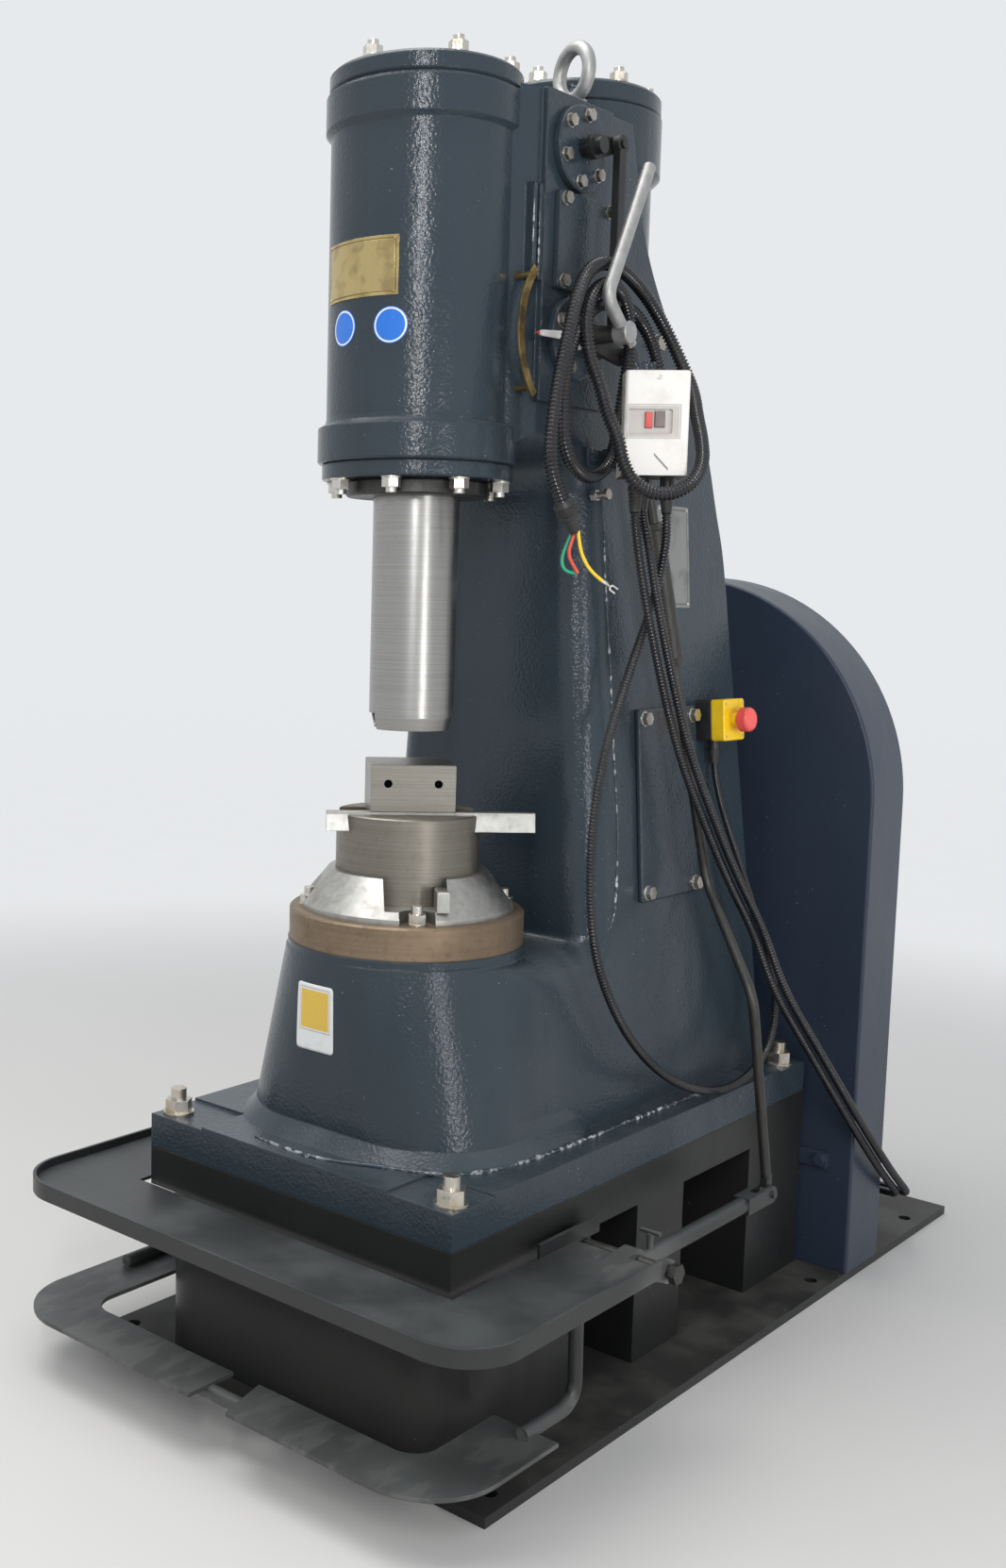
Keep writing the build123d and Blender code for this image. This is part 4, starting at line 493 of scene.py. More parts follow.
@dataclass(frozen=True)
class StarterShell(Finish):
    """Off-white starter housing: black glands underneath, a tinted window and a slanted groove."""

    bottom: float = 1.358
    front: float = 0.038
    pane_at: tuple[float, float] = (-0.004, 0.002)
    pane_half: tuple[float, float] = (0.036, 0.022)
    rim_gap: float = 0.0015
    groove_at: tuple[float, float] = (0.008, -0.046)
    groove_half: tuple[float, float] = (0.010, 0.0016)
    groove_slant: float = 1.05

    def lay(self, sheet: FinishSheet) -> None:
        """Distances across, up and out of the box's middle pick the window, its rim and the groove.

        Args:
            sheet: the material's node tree.
        """
        x, y, z = sheet.split(sheet.place())
        x, y, up = (axis - middle * 0.001 for axis, middle in zip((x, y, z), STARTER_MIDDLE_MM))
        side = x * STARTER_ACROSS[0] + y * STARTER_ACROSS[1]
        out = x * STARTER_OUT[0] + y * STARTER_OUT[1]
        face = out.rise(self.front - 0.003, self.front - 0.001)
        past_side = abs(side - self.pane_at[0]) - self.pane_half[0]
        past_pane = past_side.at_least(abs(up - self.pane_at[1]) - self.pane_half[1])
        pane = past_pane.rise(0.0006, -0.0006) * face
        rim = abs(past_pane - self.rim_gap).rise(0.0009, 0.0003) * face
        past_line = abs(side * self.groove_slant + up - self.groove_at[1]) - self.groove_half[1]
        past_groove = past_line.at_least(abs(side - self.groove_at[0]) - self.groove_half[0])
        groove = past_groove.rise(0.0006, -0.0004) * face
        soil = sheet.noise(26.0, 5).rise(0.45, 0.75) * 0.45 + sheet.noise(150.0, 3).rise(0.62, 0.75) * 0.25
        shell = sheet.mix(soil, (0.76, 0.735, 0.70), (0.58, 0.53, 0.46))
        glass = sheet.mix(sheet.noise(50.0, 3), (0.46, 0.42, 0.39), (0.58, 0.55, 0.51))
        colour = sheet.mix(pane, shell, glass)
        colour = sheet.mix((rim * 0.45 + groove * 0.8).at_most(1.0), colour, (0.12, 0.10, 0.09))
        colour = sheet.mix(z.rise(self.bottom, self.bottom - 0.001), colour, (0.016, 0.016, 0.018))
        sheet.paint(
            {
                "Base Color": colour,
                "Roughness": 0.36 - pane * 0.24 + soil * 0.2,
                "Normal": sheet.bump(rim * -0.0004 + groove * -0.0006, sheet.soft_edge(0.0016)),
            },
        )


@dataclass(frozen=True)
class StopShell(Finish):
    """Stop box: black base against the flank and a yellow lid over it."""

    joint: float = 0.2815

    def lay(self, sheet: FinishSheet) -> None:
        """Distance along the flank's outward direction parts the base from the lid.

        Args:
            sheet: the material's node tree.
        """
        x, _, z = sheet.split(sheet.place())
        out = x * FLANK_OUT[0] + z * FLANK_OUT[2]
        lid = out.rise(self.joint - 0.0004, self.joint + 0.0004)
        soil = sheet.noise(42.0, 5).rise(0.45, 0.75) * 0.35
        yellow = sheet.mix(soil, (0.86, 0.56, 0.012), (0.55, 0.33, 0.012))
        seam = abs(out - self.joint - 0.0012).rise(0.0008, 0.0003)
        colour = sheet.mix(lid, (0.018, 0.018, 0.020), yellow)
        height = sheet.noise(700.0, 1) * 0.00004 + seam * -0.0003
        sheet.paint(
            {
                "Base Color": sheet.mix(seam * 0.6, colour, (0.05, 0.035, 0.01)),
                "Roughness": soil * 0.3 + 0.33,
                "Normal": sheet.bump(height, sheet.soft_edge(0.0012)),
            },
        )


@dataclass(frozen=True)
class CordSkin(Finish):
    """Plastic skin of a conduit or a wire, with dust in its ribs."""

    colour: Colour = (0.008, 0.008, 0.010)
    worn: Colour = (0.050, 0.049, 0.047)
    rough: float = 0.17

    def lay(self, sheet: FinishSheet) -> None:
        """Dusty stretches come from a slow noise, and finer rubs from a quick one.

        Args:
            sheet: the material's node tree.
        """
        stretch = sheet.noise(7.0, 3).rise(0.4, 0.68)
        rub = sheet.noise(120.0, 2).rise(0.5, 0.75)
        grey = (stretch * 0.55 + rub * 0.25) * (sheet.upward(-0.2, 0.8) * 0.7 + 0.3)
        colour = sheet.mix(grey, self.colour, self.worn)
        sheet.paint({"Base Color": colour, "Roughness": stretch * 0.16 + rub * 0.08 + self.rough})


@dataclass(frozen=True)
class DiscEnamel(Finish):
    """Bare blue disc with a pale ring; the map's first number is the share of the radius."""

    def lay(self, sheet: FinishSheet) -> None:
        """Ring between two shares of the radius, with light scuffs.

        Args:
            sheet: the material's node tree.
        """
        share = sheet.split(sheet.place(2))[0]
        ring = abs(share - 0.90).rise(0.055, 0.035)
        scuff = sheet.noise(160.0, 4).rise(0.58, 0.76) * 0.3
        field = sheet.mix(scuff, (0.020, 0.155, 0.60), (0.10, 0.26, 0.66))
        colour = sheet.mix(ring, field, (0.72, 0.76, 0.80))
        sheet.paint({"Base Color": colour, "Roughness": scuff * 0.4 + 0.28})


@dataclass(frozen=True)
class SignEnamel(Finish):
    """Bare white plate with a plain yellow field in its upper part, on the piece's own map."""

    def lay(self, sheet: FinishSheet) -> None:
        """The field is a box in the map's two numbers; a thin grey line runs round it.

        Args:
            sheet: the material's node tree.
        """
        across, up, _ = sheet.split(sheet.place(2))
        inside = (0.38 - abs(across - 0.5)).at_most(0.29 - abs(up - 0.62))
        field = inside.rise(-0.004, 0.004)
        line = abs(inside + 0.03).rise(0.012, 0.006)
        soil = sheet.noise(55.0, 5).rise(0.5, 0.78) * 0.35
        white = sheet.mix(soil, (0.70, 0.71, 0.70), (0.42, 0.42, 0.41))
        yellow = sheet.mix(soil, (0.66, 0.43, 0.03), (0.42, 0.28, 0.04))
        colour = sheet.mix(field * 0.95, white, yellow)
        colour = sheet.mix(line * 0.5, colour, (0.14, 0.14, 0.15))
        sheet.paint({"Base Color": colour, "Roughness": soil * 0.3 + 0.32})


@dataclass(frozen=True)
class PointerPaint(Finish):
    """White pointer with a red tip towards the operator."""

    red_from: float = 0.047

    def lay(self, sheet: FinishSheet) -> None:
        """A step along Y parts the colours, and noise chips both.

        Args:
            sheet: the material's node tree.
        """
        tip = sheet.split(sheet.place())[1].rise(self.red_from, self.red_from - 0.003)
        chip = sheet.noise(150.0, 4).rise(0.6, 0.72) * 0.5
        colour = sheet.mix(tip, (0.74, 0.73, 0.70), (0.62, 0.07, 0.04))
        colour = sheet.mix(chip, colour, (0.25, 0.22, 0.20))
        sheet.paint({"Base Color": colour, "Roughness": chip * 0.3 + 0.34})


@dataclass(frozen=True)
class BeadEnamel(Finish):
    """Thick enamel over filler, with pale flecks that are partly rubbed-through filler and partly painted
    highlight.
    """

    def lay(self, sheet: FinishSheet) -> None:
        """Flecks from two noises over the frame's own paint: partly real filler, partly painted glints of
        light.

        Args:
            sheet: the material's node tree.
        """
        # pale flecks: partly rubbed-through filler, partly painted highlight standing in for glints on the
        # glossy bead
        filler_and_glint_fleck = sheet.noise(110.0, 4).rise(0.47, 0.62) * sheet.noise(9.0, 2).rise(0.36, 0.60) * 0.75
        sheet.paint(
            {
                "Base Color": sheet.mix(filler_and_glint_fleck, (0.026, 0.040, 0.055), (0.58, 0.61, 0.63)),
                "Roughness": 0.16 + filler_and_glint_fleck * 0.2,
                "Normal": sheet.bump(sheet.noise(160.0, 2) * 0.0006),
            },
            {"Specular IOR Level": 0.5},
        )


@dataclass(frozen=True)
class TreadleWear(Finish):
    """Black treadle steel, rubbed bare on its foot plates and along its right corner."""

    foot_top: float = 0.125
    corner: Spot = (0.40, 0.02, 0.25)

    def lay(self, sheet: FinishSheet) -> None:
        """Bare share: low foot plates that face up, and a ball round the worn corner, both noisy.

        Args:
            sheet: the material's node tree.
        """
        x, y, z = sheet.split(sheet.place())
        far = abs(x - self.corner[0]) + abs(y - self.corner[1]) * 0.8 + abs(z - self.corner[2])
        rubbed = sheet.noise(30.0, 5, (1.0, 0.35, 1.0)).rise(0.48, 0.62)
        foot = z.rise(self.foot_top, self.foot_top - 0.02)
        bare = (foot * 0.5 + far.rise(0.16, 0.05) * 0.9).at_most(1.0) * (rubbed * 0.6 + 0.4)
        dust = sheet.upward(0.5, 0.95) * (sheet.noise(8.0, 5).rise(0.32, 0.72) * 0.6 + 0.25)
        tone = sheet.mix(sheet.noise(5.0, 4), (0.011, 0.012, 0.012), (0.022, 0.023, 0.023))
        colour = sheet.mix(dust * 0.8, tone, (0.075, 0.085, 0.085))
        colour = sheet.mix(bare, colour, (0.20, 0.20, 0.195))
        scratch = sheet.noise(1.0, 3, Grain.ALONG_X.value)
        height = sheet.noise(14.0, 2) * 0.0009 + scratch * 0.00004
        sheet.paint(
            {
                "Base Color": colour,
                "Metallic": bare * 0.6,
                "Roughness": dust * 0.25 + scratch * 0.1 + 0.32,
                "Normal": sheet.bump(height, sheet.soft_edge(0.002)),
            },
        )


@dataclass(frozen=True)
class PaleConcrete(Finish):
    """Plain pale studio floor with the faintest cloudiness."""

    near: Colour = (0.68, 0.67, 0.65)
    glow: Colour = (0.70, 0.715, 0.73)
    glow_from: float = 1.2
    glow_full: float = 16.0

    def lay(self, sheet: FinishSheet) -> None:
        """One slow noise between two near tones; far off, the floor glows as pale as the backdrop.

        The glow goes by the square of the distance from the origin.

        Args:
            sheet: the material's node tree.
        """
        x, y, _ = sheet.split(sheet.place())
        far = (x * x + y * y).rise(self.glow_from, self.glow_full)
        tone = sheet.mix(sheet.noise(1.3, 4), self.near, (0.64, 0.63, 0.61))
        sheet.paint(
            {
                "Base Color": sheet.mix(far, tone, (0.06, 0.06, 0.06)),
                "Roughness": sheet.noise(5.0, 3) * 0.1 + 0.6,
                "Emission Color": sheet.mix(far, (0.0, 0.0, 0.0), self.glow),
            },
            {"Emission Strength": 1.0, "Specular IOR Level": 0.2},
        )


SLATE = CastPaint("slate_enamel")
GUARD_BLUE = CastPaint(
    "guard_enamel", colour=(0.020, 0.030, 0.050), second=(0.026, 0.037, 0.058), peel=0.00016,
    peel_scale=95.0, wave=0.0008, gloss=0.30, dust=0.35, edge=0.003,
)
BASE_BLACK = CastPaint(
    "base_black", colour=(0.010, 0.011, 0.011), second=(0.018, 0.018, 0.017), peel=0.00012,
    wave=0.0006, gloss=0.34, dust=0.30, edge=0.002, dust_colour=(0.09, 0.09, 0.08),
)
PLATE_BLACK = CastPaint(
    "plate_black", colour=(0.012, 0.013, 0.013), second=(0.022, 0.022, 0.021), peel=0.00012,
    wave=0.0007, gloss=0.38, dust=0.70, edge=0.0015, dust_colour=(0.085, 0.085, 0.075),
)
MOTOR_BLUE = CastPaint(
    "motor_enamel", colour=(0.20, 0.27, 0.30), second=(0.25, 0.32, 0.34), gloss=0.34, edge=0.0015,
    peel=0.0001, wave=0.0003,
)
RAM_STEEL = BareMetal(
    "ram_steel", colour=(0.38, 0.375, 0.36), stain=(0.24, 0.21, 0.17), stained=0.25,
    grain=Grain.TURNED, rough=0.24, depth=0.00003, dust=0.0, edge=0.0015,
)
DIE_STEEL = DieSteel(
    "die_steel", colour=(0.27, 0.255, 0.225), stain=(0.19, 0.165, 0.13), stained=0.45, grain=Grain.ACROSS,
    rough=0.30, dust=0.0, edge=0.001, depth=0.00002, patch=5.0,
)
SOW_IRON = BareMetal(
    "sow_iron", colour=(0.24, 0.222, 0.19), stain=(0.13, 0.105, 0.075), stained=0.6, grain=Grain.TURNED,
    rough=0.34, depth=0.00003, dust=0.2,
)
RING_IRON = BareMetal(
    "ring_iron", colour=(0.25, 0.185, 0.125), stain=(0.10, 0.065, 0.035), stained=0.75, grain=Grain.TURNED,
    rough=0.38, depth=0.00008, metal=0.85, dust=0.25,
)
COLLAR_STEEL = BareMetal(
    "collar_steel", colour=(0.46, 0.455, 0.43), stain=(0.17, 0.14, 0.105), stained=0.5, grain=Grain.CAST,
    rough=0.30, depth=0.00012, dust=0.25,
)
LEVER_STEEL = BareMetal(
    "lever_steel", colour=(0.40, 0.40, 0.395), stain=(0.24, 0.21, 0.17), stained=0.2, grain=Grain.CAST,
    rough=0.40, dust=0.05, patch=14.0, metal=0.8, depth=0.00004,
)
DARK_ROD = BareMetal(
    "dark_rod", colour=(0.070, 0.069, 0.066), stain=(0.032, 0.029, 0.026), stained=0.5, grain=Grain.UPRIGHT,
    rough=0.36, metal=0.8, patch=16.0, dust=0.3,
)
INNER_IRON = BareMetal(
    "inner_iron", colour=(0.33, 0.31, 0.28), stain=(0.10, 0.08, 0.06), stained=0.5, grain=Grain.TURNED,
    rough=0.36,
)
GALVANISED = ZincPlate("galvanised")
VALVE_ZINC = ZincPlate("valve_zinc", colour=(0.44, 0.43, 0.41), warm=(0.34, 0.30, 0.25))
GLAND_BLACK = Moulded("gland_black", (0.014, 0.014, 0.015), (0.028, 0.027, 0.026), 0.38)
RUBBER = Moulded("belt_rubber", (0.022, 0.022, 0.022), (0.04, 0.038, 0.036), 0.62, 0.5)


# Surfaces as arrays


@dataclass
class Shell:
    """Points and faces of one closed surface, in metres."""

    points: Array
    faces: list[list[int]]
    uv: Array | None = None

    def __add__(self, other: Shell) -> Shell:
        """Both surfaces as one.

        Args:
            other: the surface that is added.

        Returns:
            The joined surface.
        """
        step = len(self.points)
        moved = [[corner + step for corner in face] for face in other.faces]
        uv = None if self.uv is None or other.uv is None else np.concatenate([self.uv, other.uv])
        return Shell(np.concatenate([self.points, other.points]), self.faces + moved, uv)


def joined(shells: Sequence[Shell]) -> Shell:
    """Several surfaces as one."""
    return reduce(add, shells)


def grid_shell(grid: Array, wrap: bool = True, caps: bool = True, uv: Array | None = None) -> Shell:
    """Quads over a grid of points.

    Point (i, j) is number i times the columns plus j, and each quad joins (i, j), (i, j+1),
    (i+1, j+1) and (i+1, j), so that it faces along the column step crossed with the row step.

    Args:
        grid: rows by columns by 3.
        wrap: whether the last column joins the first.
        caps: whether the first and last rows are closed with one face each.
        uv: rows by columns by 2.

    Returns:
        The surface.
    """
    rows, columns = grid.shape[:2]
    i = np.arange(rows - 1)[:, None]
    j = np.arange(columns if wrap else columns - 1)[None, :]
    k = (j + 1) % columns
    near, far = i * columns, (i + 1) * columns
    corners = np.broadcast_arrays(near + j, near + k, far + k, far + j)
    faces = np.stack(corners, -1).reshape(-1, 4).tolist()
    if caps:
        first = list(range(columns))
        faces += [first[::-1], [(rows - 1) * columns + corner for corner in first]]
    return Shell(grid.reshape(-1, 3), faces, None if uv is None else uv.reshape(-1, 2))


def unit(vectors: Array) -> Array:
    """Vectors scaled to length 1."""
    return vectors / np.linalg.norm(vectors, axis=-1, keepdims=True)


def across_path(line: Array) -> tuple[Array, Array]:
    """Two unit vectors across a path at each point.

    Of many directions spread evenly over a sphere, the one that stays furthest from every heading
    of the path is crossed with the headings, so the vectors never flip.

    Args:
        line: the path's points.

    Returns:
        The two vectors, the second being the heading crossed with the first.
    """
    heading = unit(np.gradient(line, axis=0))
    count = np.arange(DIRECTION_TRIES) + 0.5
    tilt, turn = np.arccos(1 - 2 * count / DIRECTION_TRIES), pi * (1 + 5**0.5) * count
    tries = np.stack([np.cos(turn) * np.sin(tilt), np.sin(turn) * np.sin(tilt), np.cos(tilt)], 1)
    best = tries[np.abs(heading @ tries.T).max(axis=0).argmin()]
    side = unit(np.cross(heading, best))
    return side, np.cross(heading, side)


def tube_shell(line: Array, radii: Array, sides: int, flat: float = 1.0) -> Shell:
    """Round skin along a path: each point plus its radius times cosine and sine of an even turn.

    Args:
        line: the path's points.
        radii: radius at each point.
        sides: corners of each ring.
        flat: share of the radius along the second vector, below 1 for a flat bar.

    Returns:
        The closed surface.
    """
    side, over = across_path(line)
    turn = np.linspace(0, 2 * pi, sides, endpoint=False)[None, :, None]
    ring = np.cos(turn) * side[:, None] + np.sin(turn) * over[:, None] * flat
    return grid_shell(line[:, None] + np.asarray(radii)[:, None, None] * ring)


def turned_shell(
    at: Sequence[float], axis: Sequence[float], profile: Sequence[tuple[float, float]], sides: int
) -> Shell:
    """Turned piece: each ring is the axis point plus the radius times cosine and sine of an even turn.

    Args:
        at: point of the axis at height 0, in mm.
        axis: direction of the axis.
        profile: pairs of height and radius, in mm.
        sides: corners of each ring.

    Returns:
        The closed surface.
    """
    steps = np.array(profile, float)
    side, over = across_path(np.array([[0.0, 0, 0], axis], float))
    turn = np.linspace(0, 2 * pi, sides, endpoint=False)[None, :, None]
    ring = np.cos(turn) * side[0] + np.sin(turn) * over[0]
    core = np.array(at, float) + steps[:, :1] * unit(np.array(axis, float))
    return grid_shell((core[:, None] + steps[:, 1:, None] * ring) * 0.001)


def dome_shells(
    spots: Sequence[Sequence[float]], axes: Sequence[Sequence[float]], radius: float, height: float
) -> Shell:
    """Low round heads, such as rivets: a quarter ellipse turned round each axis.

    Args:
        spots: middle of each head's foot, in mm.
        axes: direction of each head.
        radius: radius at the foot, in mm.
        height: height over the foot, in mm.

    Returns:
        All heads as one surface.
    """
    rise = np.linspace(0, pi / 2, 5)[:-1]
    profile = [(-0.6, radius)] + list(zip(height * np.sin(rise), radius * np.cos(rise)))
    return joined([turned_shell(spot, axis, profile, 16) for spot, axis in zip(spots, axes)])


def spline_line(name: str, points_mm: Sequence[Sequence[float]]) -> Array:
    """Fine points of the NURBS spline that has these points as its control points.

    Args:
        name: name of the helper curve.
        points_mm: the route's points, in mm.

    Returns:
        The points that Blender gives for the curve, in metres.
    """
    curve = bpy.data.curves.new(name + "_route", "CURVE")
    curve.dimensions = "3D"
    spline = curve.splines.new("NURBS")
    controls = np.array(points_mm, float) * 0.001
    spline.points.add(len(controls) - 1)
    spline.points.foreach_set("co", np.c_[controls, np.ones(len(controls))].ravel())
    spline.order_u = 3
    spline.use_endpoint_u = True
    spline.resolution_u = 40
    holder = bpy.data.objects.new(name + "_route", curve)
    mesh = bpy.data.meshes.new_from_object(holder)
    found = np.zeros(len(mesh.vertices) * 3)
    mesh.vertices.foreach_get("co", found)
    bpy.data.objects.remove(holder)
    bpy.data.meshes.remove(mesh)
    bpy.data.curves.remove(curve)
    return found.reshape(-1, 3)


def even_line(line: Array, step: float) -> tuple[Array, Array]:
    """Spaces points evenly along a path.

    Args:
        line: the path's points.
        step: wanted distance between two points.

    Returns:
        The points, and their distances along the path.
    """
    run = np.r_[0.0, np.cumsum(np.linalg.norm(np.diff(line, axis=0), axis=1))]
    at = np.linspace(0, run[-1], max(4, int(round(run[-1] / step)) + 1))
    return np.stack([np.interp(at, run, line[:, axis]) for axis in range(3)], 1), at


def add_piece(
    name: str, shell: Shell, finish: Finish, body: str, crease: float | None = 35.0
) -> bpy.types.Object:
    """Makes a surface an object that rides on a body.

    Args:
        name: the piece's name.
        shell: its points and faces.
        finish: what it is dressed in.
        body: the CAD body it moves with.
        crease: angle in degrees above which an edge stays sharp, or None.

    Returns:
        The object.
    """
    mesh = bpy.data.meshes.new(name)
    mesh.from_pydata(shell.points.tolist(), [], shell.faces)
    mesh.polygons.foreach_set("use_smooth", np.ones(len(mesh.polygons), bool))
    if crease is not None:
        mesh.set_sharp_from_angle(angle=radians(crease))
    if shell.uv is not None:
        corners = np.zeros(len(mesh.loops), np.int32)
        mesh.loops.foreach_get("vertex_index", corners)
        mesh.uv_layers.new(name="face_map").data.foreach_set("uv", shell.uv[corners].ravel())
    mesh.materials.append(finish.material())
    mesh.update()
    piece = bpy.data.objects.new(name, mesh)
    bpy.context.scene.collection.objects.link(piece)
    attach(piece, body)
    LOG.info("%s: %d faces", name, len(mesh.polygons))
    return piece


# Sub-assemblies


def flank_x(z: Array | float) -> Array | float:
    """Distance of the leaning flank from the middle plane at a height, both in mm."""
    return FLANK_FOOT_MM[0] - (z - FLANK_FOOT_MM[1]) * FLANK_LEAN


@dataclass
class Casting:
    """The frame casting with its covers, seams, and the plates fixed to it."""

    barrel_r_mm: float = 134.5
    disc_r_mm: float = 25.0
    disc_spots: tuple[tuple[float, float], ...] = ((-104.0, 1552.0), (-69.0, 1550.0))
    disc_profile: tuple[tuple[float, float], ...] = (
        (0.04, 0.7), (0.45, 0.7), (0.82, 0.7), (0.96, 0.7), (1.0, 0.45), (1.0, -0.4),
    )
    nameplate_r: float = 0.136
    nameplate_turn: float = radians(-94.0)
    nameplate_half_turn: float = radians(29.5)
    name_rivet_r_mm: float = 136.2
    name_rivet_turns: tuple[float, float] = (radians(-121.0), radians(-67.0))
    name_rivet_z_mm: tuple[float, float] = (1594.5, 1665.5)
    data_rivet_y_mm: tuple[float, float] = (406.0, 490.0)
    data_rivet_z_mm: tuple[float, float] = (1175.0, 1325.0)
    data_plate_t_mm: float = 1.6
    name_rivet_mm: tuple[float, float] = (2.4, 1.3)
    data_rivet_mm: tuple[float, float] = (2.6, 1.4)
    sign_half_mm: tuple[float, float] = (36.0, 49.5)
    sign_centre_mm: tuple[float, float] = (-22.5, 569.5)
    sign_corner_mm: float = 6.0
    sign_start_y_mm: float = -420.0
    sign_off: float = 0.0011
    sign_t: float = 0.0014
    corner_seam_mm: tuple[Spot, ...] = (
        (166.5, 245.9, 1287.2), (168.9, 244.6, 1251.8), (175.2, 249.1, 1159.5), (182.0, 256.0, 1059.3),
        (189.9, 259.8, 943.9), (197.8, 269.1, 826.8), (203.8, 260.6, 740.0), (207.7, 250.4, 682.8),
        (207.4, 226.0, 657.2),
    )
    foot_seam_mm: tuple[Spot, ...] = (
        (-96.0, -222.4, 385.0), (-40.0, -229.0, 385.0), (25.3, -229.0, 385.0), (80.0, -210.0, 385.5),
        (113.6, -192.0, 386.0), (166.6, -171.1, 385.0), (222.6, -130.0, 385.0), (247.4, -60.5, 385.0),
        (256.8, 66.8, 385.0), (258.0, 218.7, 385.0), (261.8, 381.2, 385.0), (264.5, 498.4, 385.0),
    )
    rib_x_mm: float = 157.7
    rib_y_mm: tuple[float, float] = (50.3, 64.3)
    rib_z_mm: tuple[float, ...] = (1628.0, 1690.0, 1756.0)
    corner_bead_r: float = 0.0020
    foot_bead_r: float = 0.0032
    rib_bead_r: float = 0.0014
    lumps: tuple[tuple[float, float, float], ...] = ((0.20, 71, 0.0), (0.14, 173, 1.0), (0.12, 331, 2.0))
    bead_step: float = 0.004
    bead_taper: float = 0.05

    def dress(self) -> None:
        """Paints the casting and its bolted covers."""
        SLATE.dress(
            "hammer_frame", "front_cover", "rear_cover", "gland_plate", "side_cover", "valve_cover",
            "valve_caps", "starter_bracket",
        )
        GALVANISED.dress("cover_nuts", "gland_nuts", "side_cover_bolts")
        VALVE_ZINC.dress("grease_nipple")
        LEVER_STEEL.dress("eye_bolts")
        PlateFace(
            "name_plate", centre=(self.nameplate_turn * self.nameplate_r, 1.630),
            half=(self.nameplate_half_turn * self.nameplate_r, 0.040), arc=self.nameplate_r,
            inset=0.0045, rough=0.15,
        ).dress("nameplate")
        PlateFace(
            "data_plate", centre=(0.448, 1.250), half=(0.048, 0.081), inset=0.006,
            colour=(0.24, 0.245, 0.235), line=(0.08, 0.08, 0.08), rub=(0.13, 0.135, 0.13),
            metal=0.45, rough=0.40,
        ).dress("data_plate")

    def add_rivets(self) -> None:
        """Four heads on the nameplate and four on the data plate."""
        turns = [(turn, height) for height in self.name_rivet_z_mm for turn in self.name_rivet_turns]
        axes = [(cos(turn), sin(turn), 0.0) for turn, _ in turns]
        spots = [
            (self.name_rivet_r_mm * cos(turn), self.name_rivet_r_mm * sin(turn), height)
            for turn, height in turns
        ]
        heads = dome_shells(spots, axes, *self.name_rivet_mm)
        add_piece("nameplate_rivets", heads, AgedBrass("rivet_brass"), "frame")
        spots = [
            (
                float(flank_x(z)) + self.data_plate_t_mm * FLANK_OUT[0],
                y,
                z + self.data_plate_t_mm * FLANK_OUT[2],
            )
            for z in self.data_rivet_z_mm
            for y in self.data_rivet_y_mm
        ]
        heads = dome_shells(spots, [FLANK_OUT] * len(spots), *self.data_rivet_mm)
        add_piece("data_plate_rivets", heads, GALVANISED, "frame")

    def add_discs(self) -> None:
        """Two bare discs bent round the barrel.

        A disc's grid has the distance from its middle as rows and the turn as columns; distance
        times the turn's cosine is added to the height, and times its sine to the arc.
        """
        profile = np.array(self.disc_profile)
        turn = np.linspace(0, 2 * pi, 48, endpoint=False)[None, :]
        share, reach = profile[:, :1] + 0 * turn, profile[:, :1] * self.disc_r_mm
        radius = self.barrel_r_mm + profile[:, 1:] + 0 * turn
        uv = np.stack([share, turn / (2 * pi) + 0 * share], -1)
        shells = []
        for angle, height in self.disc_spots:
            around = radians(angle) + reach * np.sin(turn) / self.barrel_r_mm
            rise = height + reach * np.cos(turn)
            grid = np.stack([radius * np.cos(around), radius * np.sin(around), rise], -1)
            shells.append(grid_shell(grid * 0.001, uv=uv))
        add_piece("blue_discs", joined(shells), DiscEnamel("disc_enamel"), "frame")

    def add_sign(self) -> None:
        """Bare plate on the pedestal, laid on the casting along Y.

        The square grid's corners are pulled onto quarter circles: past the corner's centre, the two
        offsets are scaled by the larger of them over their distance.
        """
        half_u, half_v = self.sign_half_mm
        u, v = np.meshgrid(np.linspace(-half_u, half_u, 25), np.linspace(-half_v, half_v, 33))
        square_u, square_v = half_u - self.sign_corner_mm, half_v - self.sign_corner_mm
        past_u, past_v = np.maximum(abs(u) - square_u, 0), np.maximum(abs(v) - square_v, 0)
        share = np.maximum(past_u, past_v) / np.maximum(np.hypot(past_u, past_v), 1e-9)
        share = np.where((past_u > 0) & (past_v > 0), share, 1.0)
        u = np.sign(u) * (np.minimum(abs(u), square_u) + past_u * share)
        v = np.sign(v) * (np.minimum(abs(v), square_v) + past_v * share)
        across, up = self.sign_centre_mm
        grid = np.stack([u + across, np.full_like(u, self.sign_start_y_mm), v + up], -1)
        uv = np.stack([u / (2 * half_u) + 0.5, v / (2 * half_v) + 0.5], -1)
        shell = grid_shell(grid * 0.001, wrap=False, caps=False, uv=uv)
        sign = add_piece("pedestal_plate", shell, SignEnamel("sign_enamel"), "frame")
        laid = sign.modifiers.new("laid", "SHRINKWRAP")
        laid.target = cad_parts["hammer_frame"]
        laid.wrap_method = "PROJECT"
        laid.use_project_y = True
        laid.use_negative_direction = False
        laid.use_positive_direction = True
        laid.offset = self.sign_off
        thick = sign.modifiers.new("thick", "SOLIDIFY")
        thick.thickness = self.sign_t
        thick.offset = -1.0
        settled = sign.evaluated_get(bpy.context.evaluated_depsgraph_get())
        shape = bpy.data.meshes.new_from_object(settled)
        sign.modifiers.clear()
        sign.data = shape

